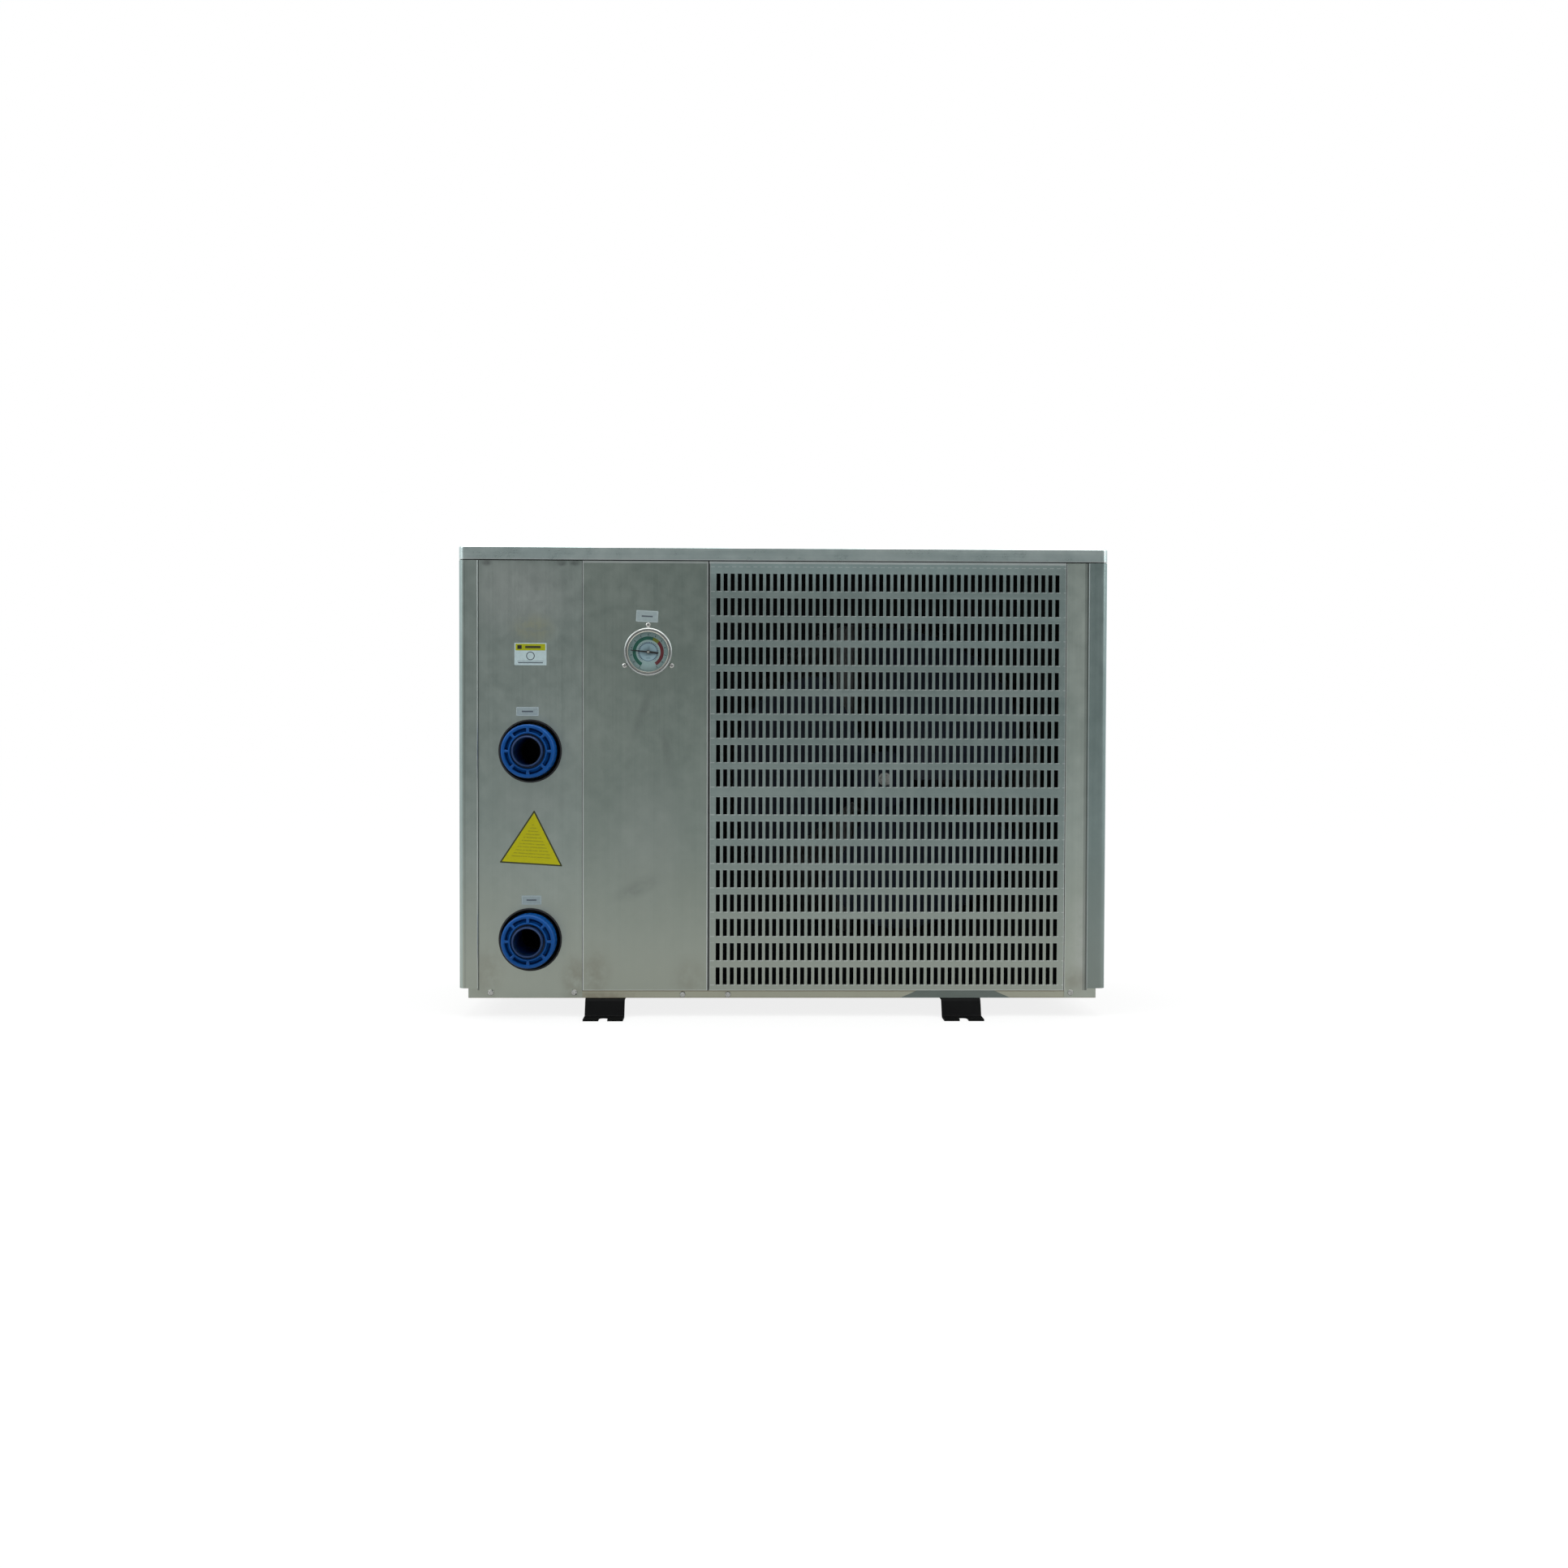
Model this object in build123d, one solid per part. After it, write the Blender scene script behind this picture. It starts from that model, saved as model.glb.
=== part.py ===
from build123d import *

import math
import os

# Pool and spa heat pump: a stainless sheet-metal cabinet that stands on two strap feet.
# Millimetres. X runs right, the front faces -Y, Z is up, and the origin is on the floor
# under the middle of the cabinet.

# ---------------------------------------------------------------- overall
CABINET_WIDTH = 1050.0
CABINET_DEPTH = 430.0
UNIT_HEIGHT = 760.0
FOOT_HEIGHT = 30.0

# ---------------------------------------------------------------- sheet metal
SHEET = 1.2
PAN_SHEET = 1.5
BRACKET_SHEET = 2.0
PARTITION_SHEET = 1.0
POST_LEG = 31.0
POST_RADIUS = 10.0
POST_PROUD = 2.5
POST_CLEARANCE = 4.0
HEM_RADIUS = 1.5
DOOR_PROUD = 1.5
RETURN_DEPTH = 12.0
FLANGE_DEPTH = 14.0
PANEL_LAP = 1.0
SEAM = 0.8
COVER_LIP = 21.5
COVER_TOP_RADIUS = 3.0
GASKET_HEIGHT = 1.5
GASKET_WIDTH = 8.0
GASKET_INSET = 6.0
PAN_INSET = 15.0
PAN_LIP = 12.0
PAN_SIDE_LIP = 30.0
DOOR_CLEARANCE = 0.5

# ---------------------------------------------------------------- front panels
CONNECTION_RUN = 198.8
SERVICE_WIDTH = 201.8
DOOR_GAP = 2.2
STRIP_RUN = 66.8

# ---------------------------------------------------------------- fan grille
SLOT_WIDTH = 6.5
SLOT_HEIGHT = 28.0
SLOT_PITCH = 11.44
ROW_PITCH = 39.5
UPPER_ROWS = 9
BAND_EXTRA = 5.5
SLOT_MARGIN_X = 11.0
SLOT_MARGIN_TOP = 19.5
SLOT_MARGIN_BOTTOM = 8.0

# ---------------------------------------------------------------- feet
FOOT_SPREAD = 578.0
FOOT_WIDTH = 64.0
FOOT_REACH = 46.0
FOOT_SHEET = 3.0
FOOT_TAB = 36.0
FOOT_SLOPE = 12.0
FOOT_BEND = 5.0
NOTCH_WIDTH = 14.5
NOTCH_DEPTH = 28.0

# ---------------------------------------------------------------- water unions
UNION_RUN = 115.0
OUTLET_HEIGHT = 430.0
INLET_HEIGHT = 125.0
PORT_BORE_RADIUS = 22.0
TAIL_WALL = 3.0
TAIL_PROUD = 43.5
TAIL_GAP = 3.0
COLLAR_STEP = 8.0
COLLAR_LENGTH = 6.5
NUT_WALL = 9.0
NUT_LENGTH = 36.0
NUT_PROUD = 34.0
NUT_LIP = 8.0
NUT_EDGE = 5.0
NUT_POCKETS = 8
POCKET_RIM = 2.5
POCKET_WIDTH = 5.5
POCKET_DEPTH = 5.0
POCKET_RIB = 4.6
THREAD_STEP = 1.0
THREAD_CLEARANCE = 0.06
THREAD_LENGTH = 19.0
UNION_NECK_WALL = 6.0
SEAL_HEIGHT = 0.5
SEAL_GROOVE_DEPTH = 2.0
SEAL_WALL = 3.0
SEAL_WIDTH = 4.0
UNION_HOLE_GAP = 8.0
GROMMET_LIP = 2.5
GROMMET_THICKNESS = 1.5

# ---------------------------------------------------------------- heat exchanger
VESSEL_RADIUS = 80.0
VESSEL_SETBACK = 155.0
VESSEL_WALL = 6.0
VESSEL_HEIGHT = 470.0
VESSEL_BOSS_WALL = 8.0
VESSEL_BOSS_REACH = 12.0
CAP_RADIUS = 88.0
CAP_HEIGHT = 24.0
CAP_RIM = 14.0
CAP_TAPER = 16.0
CAP_STUB = 14.0
CAP_STUB_ROOT = 10.0
CAP_STUB_WALL = 2.0

# ---------------------------------------------------------------- pressure gauge
GAUGE_RUN = 105.6
GAUGE_HEIGHT = 590.4
GAUGE_CASE_RADIUS = 35.0
GAUGE_CASE_WALL = 1.5
GAUGE_FIT = 0.2
GAUGE_PROUD = 8.0
GAUGE_DEPTH = 24.0
GAUGE_FLANGE_RIM = 15.0
GAUGE_SCREW_STEP = 8.75
GAUGE_SCREWS = 3
BEZEL_WALL = 4.0
BEZEL_LIP = 2.8
BEZEL_EDGE = 2.0
BEZEL_FRONT = 1.2
LENS_GAP = 0.1
LENS_THICKNESS = 1.5
DIAL_SETBACK = 7.0
DIAL_THICKNESS = 1.0
ARBOR_RADIUS = 0.9
ARBOR_LENGTH = 3.5
ARBOR_CLEARANCE = 0.05
NEEDLE_LENGTH = 29.0
NEEDLE_TAIL = 16.0
NEEDLE_TAIL_WIDTH = 3.2
NEEDLE_TAIL_TAPER = 6.4
NEEDLE_TIP_WIDTH = 0.8
NEEDLE_HUB_RADIUS = 2.8
NEEDLE_THICKNESS = 0.8
NEEDLE_LIFT = 1.0
NEEDLE_ANGLE = 174.0
STEM_SIDE = 14.0
STEM_LENGTH = 16.0
STEM_STEP = 1.0

# ---------------------------------------------------------------- fan and motor
FAN_HEIGHT = 385.0
FAN_RADIUS = 252.0
ORIFICE_CLEARANCE = 10.0
ORIFICE_SETBACK = 19.0
ORIFICE_DEPTH = 52.0
FAN_BLADES = 3
BLADE_SPAN = 98.0
BLADE_THICKNESS = 2.5
BLADE_RISE = 78.0
BLADE_STATIONS = 6
BLADE_EASE = 0.55
FAN_FRONT = 34.0
HUB_SETBACK = 20.0
HUB_RADIUS = 46.0
HUB_LENGTH = 84.0
HUB_WALL = 4.0
HUB_BOSS_RADIUS = 14.0
SHAFT_RADIUS = 6.0
SHAFT_END_RADIUS = 4.0
SHAFT_END_LENGTH = 16.0
RUNNING_CLEARANCE = 0.05
SLIP_CLEARANCE = 0.02
HUB_NUT_FLATS = 13.0
HUB_NUT_HEIGHT = 6.5
WASHER_RADIUS = 11.0
WASHER_THICKNESS = 2.0
MOTOR_RADIUS = 62.0
MOTOR_LENGTH = 90.0
MOTOR_CHAMFER = 6.0
MOTOR_GAP = 12.0
MOTOR_BOSS_RADIUS = 22.0
MOTOR_BOSS_LENGTH = 8.0
SHAFT_IN_MOTOR = 70.0
SHAFT_END_GAP = 1.0
RAIL_SPREAD = 110.0
RAIL_WIDTH = 28.0
RAIL_DEPTH = 24.0

# ---------------------------------------------------------------- air coil
COIL_THICKNESS = 40.0
COIL_GAP_REAR = 10.0
COIL_GAP_SIDE = 30.0
COIL_GAP_FRONT = 25.0
COIL_GAP_LEFT = 22.0
COIL_BEND = 60.0
COIL_LIFT = 6.0
COIL_TOP_GAP = 9.0
TUBE_RADIUS = 4.8
TUBE_PITCH = 25.4
TUBE_ROWS = (30.0, 10.0)
END_PLATE_MARGIN = 2.0
GUARD_WIRE = 2.4
GUARD_PITCH = 42.0

# ---------------------------------------------------------------- refrigerant circuit
COMPRESSOR_RUN = 125.0
COMPRESSOR_SETBACK = 90.0
COMPRESSOR_RADIUS = 68.0
COMPRESSOR_HEIGHT = 285.0
COMPRESSOR_DOME = 25.0
COMPRESSOR_BASE_TAPER = 14.0
COMPRESSOR_TOP_TAPER = 22.0
COMPRESSOR_FOOT_INSET = 10.0
DISCHARGE_RUN = 25.0
STUB_WALL = 1.5
STUB_ROOT = 8.0
LUG_CIRCLE_RADIUS = 88.0
LUG_RADIUS = 12.0
LUG_THICKNESS = 4.0
LUG_ANGLES = (30, 150, 270)
MOUNT_HEIGHT = 28.0
MOUNT_NECK_RADIUS = 6.0
MOUNT_TAPER = 1.5
MOUNT_HEAD_STEP = 3.0
MOUNT_HEAD_TAPER = 1.0
MOUNT_HEAD_HEIGHT = 5.0
TERMINAL_COVER_SIZE = (44.0, 36.0, 20.0)
TERMINAL_COVER_LEFT = 15.0
TERMINAL_COVER_FORWARD = 5.0
TERMINAL_COVER_ROUNDING = 5.0
ACCUMULATOR_OFFSET = 105.0
ACCUMULATOR_RADIUS = 29.0
ACCUMULATOR_HEIGHT = 190.0
ACCUMULATOR_LIFT = 30.0
ACCUMULATOR_DOME = 16.0
ACCUMULATOR_NECK_WALL = 3.0
STRAP_WIDTH = 16.0
STRAP_LIFT = 70.0
STRAP_HEIGHT = 20.0
STRAP_LAP = 6.0
STRAP_CLEARANCE = 0.5
PIPE_OFFSET = 5.0
PIPE_RADIUS = 5.0
PIPE_BEND = 14.0
STUB_LENGTH = 14.0
VALVE_RADIUS = 16.0
VALVE_LENGTH = 112.0
VALVE_STUB_SPREAD = 30.0
VALVE_HEIGHT = 470.0
VALVE_OFFSET = 50.0
PILOT_RADIUS = 9.0
PILOT_LENGTH = 40.0
PILOT_SETOUT = 10.0
SADDLE_WIDTH = 12.0
SADDLE_HEIGHT = 10.0
SADDLE_REACH = 4.0
EXPANSION_RADIUS = 12.0
EXPANSION_LENGTH = 46.0
EXPANSION_LEFT = 50.0
EXPANSION_FORWARD = 55.0
EXPANSION_LIFT = 24.0
EXPANSION_COIL_RADIUS = 17.0
EXPANSION_COIL_LENGTH = 34.0
PIPE_HOLE_RADIUS = 9.0
DISCHARGE_RISE = 32.0
COIL_GAS_RUN = 45.0
COIL_GAS_DROP = 30.0
EXCHANGER_GAS_DROP = 18.0
EXCHANGER_GAS_BACK = 90.0
EXCHANGER_GAS_BEND = 12.0
OVER_CAP_RISE = 34.0
LIQUID_DROP = 36.0
LIQUID_RUN = 38.0

# ---------------------------------------------------------------- electric box
BOX_RUN = 205.0
BOX_SETBACK = 95.0
BOX_DEPTH = 95.0
BOX_BOTTOM = 430.0
BOX_TOP_GAP = 30.0
FITTING_INSET = 20.0
CONTACTOR_SIZE = (45.0, 50.0, 75.0)
CONTACTOR_DROP = 100.0
CONTACTOR_HEAD_SIZE = (33.0, 22.0, 39.0)
CONTACTOR_HEAD_LIFT = 18.0
TERMINAL_BLOCK_SIZE = (120.0, 30.0, 34.0)
TERMINAL_BLOCK_LIFT = 22.0
TERMINALS = 6
TERMINAL_PITCH = 19.5
TERMINAL_WIDTH = 14.0
TERMINAL_WALL = 4.0
TERMINAL_DEPTH = 16.0
CAPACITOR_RADIUS = 20.0
CAPACITOR_HEIGHT = 80.0
CAPACITOR_RUN = 45.0
CAPACITOR_SETOUT = 24.0
CAPACITOR_LIFT = 90.0
TAB_SIZE = (2.0, 6.0, 10.0)
TAB_SPREAD = 8.0
CLIP_WIDTH = 12.0
CLIP_LIFT = 30.0
CLIP_HEIGHT = 15.0
CLIP_LAP = 5.0
GLAND_RUN = 95.0
GLAND_SPACING = 42.0
GLAND_HEIGHT = 640.0
GLAND_THREAD_RADIUS = 10.0
GLAND_FLATS = 24.0
GLAND_BORE_RADIUS = 5.5
GLAND_OUT = 24.0
GLAND_IN = 12.0
GLAND_HEAD = 7.0
GLAND_NUT = 6.0
GLAND_DOME = 5.0
GLAND_DOME_STEP = 2.5

# ---------------------------------------------------------------- drain, screws, labels
DRAIN_RADIUS = 9.0
DRAIN_BORE_RADIUS = 7.0
DRAIN_FLANGE_RADIUS = 16.0
DRAIN_FLANGE = 2.0
DRAIN_NECK_STEP = 2.0
DRAIN_NECK_DROP = 2.0
DRAIN_TIP = 8.0
DRAIN_LEFT = 110.0
DRAIN_FORWARD = 115.0
SCREW_HEAD_RADIUS = 5.0
SCREW_HEAD_HEIGHT = 2.8
SCREW_RADIUS = 2.0
SCREW_LENGTH = 6.0
SCREW_HOLE_CLEARANCE = 0.2
GAUGE_SCREW_HEAD_RADIUS = 4.2
LAPPED_SCREW_LIFT = 9.0
SILL_SCREW_LIFT = 5.5
COVER_SCREW_INSET = 65.0
RECESS_WIDTH = 1.2
RECESS_DEPTH = 1.6
LABEL_THICKNESS = 0.3
# Each label: distance right of and above its union or gauge, width and height.
OUTLET_LABEL = (-4.4, 64.0, 36.4, 14.6)
INLET_LABEL = (2.0, 64.0, 32.0, 15.0)
NOTICE_LABEL = (0.5, 156.5, 51.6, 36.0)
GAUGE_LABEL = (-1.8, 57.6, 35.6, 18.7)
GAUGE_LABEL_TURN = 2.7
TRIANGLE_RIGHT = 3.0
TRIANGLE_UP = 151.0
TRIANGLE_SIDE = 102.0
TRIANGLE_ROUNDING = 1.0
TRIANGLE_TURN = 3.5

# ---------------------------------------------------------------- derived planes
LEFT = -CABINET_WIDTH / 2
RIGHT = CABINET_WIDTH / 2
FRONT = -CABINET_DEPTH / 2
REAR = CABINET_DEPTH / 2
FIXED_FACE = FRONT + POST_PROUD
DOOR_FACE = FIXED_FACE - DOOR_PROUD
PAN_FACE = FIXED_FACE + SHEET
PAN_RIGHT = RIGHT - PAN_INSET
SIDE_FACE = RIGHT - POST_PROUD
PAN_FLOOR = FOOT_HEIGHT + PAN_SHEET
PAN_TOP = FOOT_HEIGHT + PAN_LIP
PAN_SIDE_TOP = FOOT_HEIGHT + PAN_SIDE_LIP
POST_BOTTOM = PAN_TOP + POST_CLEARANCE
DOOR_BOTTOM = PAN_TOP + DOOR_CLEARANCE
FIXED_BOTTOM = FOOT_HEIGHT + PANEL_LAP
COVER_BOTTOM = UNIT_HEIGHT - COVER_LIP
PANEL_TOP = COVER_BOTTOM - GASKET_HEIGHT

CONNECTION_RIGHT = LEFT + CONNECTION_RUN
SERVICE_LEFT = CONNECTION_RIGHT + SEAM
SERVICE_RIGHT = SERVICE_LEFT + SERVICE_WIDTH
GRILLE_LEFT = SERVICE_RIGHT + DOOR_GAP
STRIP_LEFT = RIGHT - STRIP_RUN
GRILLE_RIGHT = STRIP_LEFT - SHEET
PARTITION_X = (SERVICE_RIGHT + GRILLE_LEFT) / 2

UNION_X = LEFT + UNION_RUN
VESSEL_Y = FRONT + VESSEL_SETBACK
VESSEL_FRONT = VESSEL_Y - VESSEL_RADIUS - VESSEL_BOSS_REACH
TAIL_RADIUS = PORT_BORE_RADIUS + TAIL_WALL
NUT_LIP_RADIUS = TAIL_RADIUS + TAIL_GAP
COLLAR_RADIUS = TAIL_RADIUS + COLLAR_STEP
THREAD_RADIUS = COLLAR_RADIUS + THREAD_STEP
NUT_RADIUS = THREAD_RADIUS + NUT_WALL
POCKET_IN_RADIUS = NUT_LIP_RADIUS + POCKET_RIM
POCKET_OUT_RADIUS = POCKET_IN_RADIUS + POCKET_WIDTH
UNION_NECK_RADIUS = PORT_BORE_RADIUS + UNION_NECK_WALL
VESSEL_BOSS_RADIUS = UNION_NECK_RADIUS + VESSEL_BOSS_WALL
SEAL_IN_RADIUS = PORT_BORE_RADIUS + SEAL_WALL
SEAL_OUT_RADIUS = SEAL_IN_RADIUS + SEAL_WIDTH
UNION_HOLE_RADIUS = NUT_RADIUS + UNION_HOLE_GAP
NUT_FACE = FIXED_FACE - NUT_PROUD
TAIL_TIP = FIXED_FACE - TAIL_PROUD
COLLAR_FRONT = NUT_FACE + NUT_LIP
UNION_FACE = COLLAR_FRONT + COLLAR_LENGTH + SEAL_HEIGHT
GAUGE_X = SERVICE_LEFT + GAUGE_RUN
GAUGE_FACE = DOOR_FACE - GAUGE_PROUD
LENS_FRONT = GAUGE_FACE + BEZEL_FRONT
DIAL_FACE = GAUGE_FACE + DIAL_SETBACK
DIAL_RADIUS = GAUGE_CASE_RADIUS - GAUGE_CASE_WALL - LENS_GAP
BEZEL_RADIUS = GAUGE_CASE_RADIUS + BEZEL_WALL

FAN_X = (GRILLE_LEFT + GRILLE_RIGHT) / 2
ORIFICE_FACE = FRONT + ORIFICE_SETBACK
ORIFICE_RADIUS = FAN_RADIUS + ORIFICE_CLEARANCE
BLADE_FRONT = FRONT + FAN_FRONT
HUB_FRONT = BLADE_FRONT + HUB_SETBACK
HUB_REAR = HUB_FRONT + HUB_LENGTH
MOTOR_FRONT = HUB_REAR + MOTOR_GAP
MOTOR_REAR = MOTOR_FRONT + MOTOR_LENGTH

COIL_REAR = REAR - COIL_GAP_REAR
COIL_RIGHT = RIGHT - COIL_GAP_SIDE
COIL_FRONT = FRONT + COIL_GAP_FRONT
COIL_LEFT = PARTITION_X + COIL_GAP_LEFT
COIL_BOTTOM = PAN_FLOOR + COIL_LIFT
COIL_TOP = PANEL_TOP - COIL_TOP_GAP
TUBE_COUNT = 2 * int((COIL_TOP - COIL_BOTTOM - TUBE_PITCH) / TUBE_PITCH / 2)
TUBE_BOTTOM = (COIL_BOTTOM + COIL_TOP - (TUBE_COUNT - 1) * TUBE_PITCH) / 2
TUBE_TOP = TUBE_BOTTOM + (TUBE_COUNT - 1) * TUBE_PITCH

COMPRESSOR_X = LEFT + COMPRESSOR_RUN
COMPRESSOR_Y = REAR - COMPRESSOR_SETBACK
COMPRESSOR_BOTTOM = PAN_FLOOR + MOUNT_HEIGHT
COMPRESSOR_TOP = COMPRESSOR_BOTTOM + COMPRESSOR_HEIGHT
DISCHARGE_X = COMPRESSOR_X + DISCHARGE_RUN
STUB_RADIUS = PIPE_RADIUS + STUB_WALL
ACCUMULATOR_X = COMPRESSOR_X + ACCUMULATOR_OFFSET
ACCUMULATOR_BOTTOM = COMPRESSOR_BOTTOM + ACCUMULATOR_LIFT
ACCUMULATOR_TOP = ACCUMULATOR_BOTTOM + ACCUMULATOR_HEIGHT
PIPE_Y = COMPRESSOR_Y + PIPE_OFFSET
VALVE_X = ACCUMULATOR_X + VALVE_OFFSET
VALVE_STUB_BOTTOM = VALVE_HEIGHT - VALVE_RADIUS - STUB_LENGTH
VALVE_STUB_TOP = VALVE_HEIGHT + VALVE_RADIUS + STUB_LENGTH
CAP_STUB_TOP = PAN_FLOOR + VESSEL_HEIGHT + CAP_HEIGHT + CAP_STUB
EXPANSION_X = COMPRESSOR_X - EXPANSION_LEFT
EXPANSION_Y = COMPRESSOR_Y - EXPANSION_FORWARD
EXPANSION_TOP = CAP_STUB_TOP + EXPANSION_LIFT
BOX_LEFT = LEFT + BOX_RUN
BOX_FRONT = FRONT + BOX_SETBACK
BOX_REAR = BOX_FRONT + BOX_DEPTH
BOX_TOP = PANEL_TOP - BOX_TOP_GAP
DRAIN_X = FAN_X - DRAIN_LEFT
DRAIN_Y = REAR - DRAIN_FORWARD

# Pan-head screws on the front: (x, z) through the pan lip, some through a fixed panel too.
LAPPED_HEIGHT = FOOT_HEIGHT + LAPPED_SCREW_LIFT
SILL_HEIGHT = FOOT_HEIGHT + SILL_SCREW_LIFT
LAPPED_SCREWS = [(x, LAPPED_HEIGHT) for x in (LEFT + 51.0, LEFT + 186.0, RIGHT - 56.4)]
SILL_SCREWS = [(x, SILL_HEIGHT) for x in (SERVICE_RIGHT - 40.0, GRILLE_LEFT + 31.2)]
REAR_SCREWS = [(x, LAPPED_HEIGHT) for x in (LEFT + 60.0, PARTITION_X - 30.0)]
COVER_SCREW_Y = REAR - COVER_SCREW_INSET
COVER_SCREW_Z = UNIT_HEIGHT - COVER_LIP / 2


# ---------------------------------------------------------------- shape helpers
def block(low, high):
    """Box between its lowest and its highest corner."""
    size = [b - a for a, b in zip(low, high)]
    centre = [(a + b) / 2 for a, b in zip(low, high)]
    return Pos(*centre) * Box(*size)


def rod_x(y, z, radius, x_low, x_high):
    return Pos((x_low + x_high) / 2, y, z) * Rot(0, 90, 0) * Cylinder(radius, x_high - x_low)


def rod_y(x, z, radius, y_low, y_high):
    return Pos(x, (y_low + y_high) / 2, z) * Rot(90, 0, 0) * Cylinder(radius, y_high - y_low)


def rod_z(x, y, radius, z_low, z_high):
    return Pos(x, y, (z_low + z_high) / 2) * Cylinder(radius, z_high - z_low)


def turned_y(x, z, outline):
    """Solid turned about the line along Y through (x, z); the outline is (radius, y) points."""
    corners = [(x + radius, y, z) for radius, y in outline]
    return revolve(Face(Wire.make_polygon(corners)), axis=Axis((x, 0, z), (0, 1, 0)))


def turned_z(x, y, outline):
    """Solid turned about the line along Z through (x, y); the outline is (radius, z) points."""
    corners = [(x + radius, y, z) for radius, z in outline]
    return revolve(Face(Wire.make_polygon(corners)), axis=Axis((x, y, 0), (0, 0, 1)))


def rectangle_wire(x_low, x_high, z_low, z_high, y):
    corners = [(x_low, y, z_low), (x_high, y, z_low), (x_high, y, z_high), (x_low, y, z_high)]
    return Wire.make_polygon(corners)


def folded_strip(corners, radii, thickness, side):
    """Face of a folded strip of sheet whose outer side runs through the corners."""
    outer = FilletPolyline(*corners, radius=radii)
    return Face(outer.offset_2d(thickness, side=side))


def pipe(points, radius=PIPE_RADIUS, bend=PIPE_BEND):
    """Copper pipe along straight runs joined by tangent arcs."""
    route = FilletPolyline(*points, radius=bend)
    section = Plane(origin=route @ 0, z_dir=route % 0) * Circle(radius)
    return sweep(section, path=route)


def rear_side(shape):
    return mirror(shape, about=Plane.XZ)


def right_side(shape):
    return mirror(shape, about=Plane.YZ)


# ---------------------------------------------------------------- frame and feet
def base_pan():
    """Tray under the whole cabinet, with taller lips at its two ends."""
    tray = block((-PAN_RIGHT, PAN_FACE, FOOT_HEIGHT), (PAN_RIGHT, -PAN_FACE, PAN_SIDE_TOP))
    tray -= block(
        (-PAN_RIGHT + PAN_SHEET, PAN_FACE + PAN_SHEET, PAN_FLOOR),
        (PAN_RIGHT - PAN_SHEET, -PAN_FACE - PAN_SHEET, PAN_SIDE_TOP),
    )
    for low, high in ((PAN_FACE, PAN_FACE + PAN_SHEET), (-PAN_FACE - PAN_SHEET, -PAN_FACE)):
        tray -= block((-PAN_RIGHT, low, PAN_TOP), (PAN_RIGHT, high, PAN_SIDE_TOP))
    neck = DRAIN_RADIUS + DRAIN_NECK_STEP
    tray -= rod_z(DRAIN_X, DRAIN_Y, neck + SLIP_CLEARANCE, FOOT_HEIGHT, PAN_FLOOR)
    for x, z in LAPPED_SCREWS + SILL_SCREWS:
        tray -= screw_hole_y(x, z, PAN_FACE, PAN_SHEET)
    for x, z in REAR_SCREWS:
        tray -= screw_hole_y(x, z, -PAN_FACE - PAN_SHEET, PAN_SHEET)
    return tray


def foot_rail(x):
    """Strap bent down at both ends into a floor tab with a notch open at its tip."""
    tip = CABINET_DEPTH / 2 + FOOT_REACH
    heel = tip - FOOT_TAB
    knee = heel - FOOT_SLOPE
    corners = [(-tip, 0), (-heel, 0), (-knee, FOOT_HEIGHT - FOOT_SHEET)]
    corners += [(-y, z) for y, z in reversed(corners)]
    profile = folded_strip(corners, [FOOT_BEND] * 4, FOOT_SHEET, Side.LEFT)
    rail = extrude(Plane.YZ * profile, amount=FOOT_WIDTH, dir=(1, 0, 0))
    rail = Pos(x - FOOT_WIDTH / 2, 0, 0) * rail
    for end in (-1, 1):
        throat = tip - NOTCH_DEPTH + NOTCH_WIDTH / 2
        rail -= rod_z(x, end * throat, NOTCH_WIDTH / 2, 0, FOOT_SHEET)
        inner, outer = sorted((end * throat, end * tip))
        rail -= block((x - NOTCH_WIDTH / 2, inner, 0), (x + NOTCH_WIDTH / 2, outer, FOOT_SHEET))
    return rail


def front_left_post():
    """Rounded corner angle whose two legs end in short hems that bear on the panels."""
    edge = LEFT + POST_LEG
    corners = [
        (edge, FIXED_FACE),
        (edge, FRONT),
        (LEFT, FRONT),
        (LEFT, FRONT + POST_LEG),
        (-SIDE_FACE, FRONT + POST_LEG),
    ]
    radii = [HEM_RADIUS, POST_RADIUS, HEM_RADIUS]
    profile = folded_strip(corners, radii, SHEET, Side.RIGHT)
    return Pos(0, 0, POST_BOTTOM) * extrude(profile, amount=PANEL_TOP - POST_BOTTOM, dir=(0, 0, 1))


def cover_form(inset, z_low, z_high):
    """Lid-shaped solid, drawn in from the cabinet's outline by the inset."""
    form = block((LEFT + inset, FRONT + inset, z_low), (RIGHT - inset, REAR - inset, z_high))
    form = fillet(form.edges().filter_by(Axis.Z), POST_RADIUS - inset)
    return fillet(form.faces().sort_by(Axis.Z)[-1].edges(), COVER_TOP_RADIUS - inset)


def top_cover():
    """Shallow lid with a lip all round and an inward hem that rests on the gasket."""
    cover = cover_form(0, COVER_BOTTOM, UNIT_HEIGHT)
    cover -= cover_form(SHEET, COVER_BOTTOM + SHEET, UNIT_HEIGHT - SHEET)
    opening = FLANGE_DEPTH + SHEET
    cover -= block(
        (LEFT + opening, FRONT + opening, COVER_BOTTOM),
        (RIGHT - opening, REAR - opening, COVER_BOTTOM + SHEET),
    )
    for y in (-COVER_SCREW_Y, COVER_SCREW_Y):
        cover -= screw_hole_x(y, COVER_SCREW_Z, LEFT, SHEET)
        cover -= screw_hole_x(y, COVER_SCREW_Z, RIGHT - SHEET, SHEET)
    return cover


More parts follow.
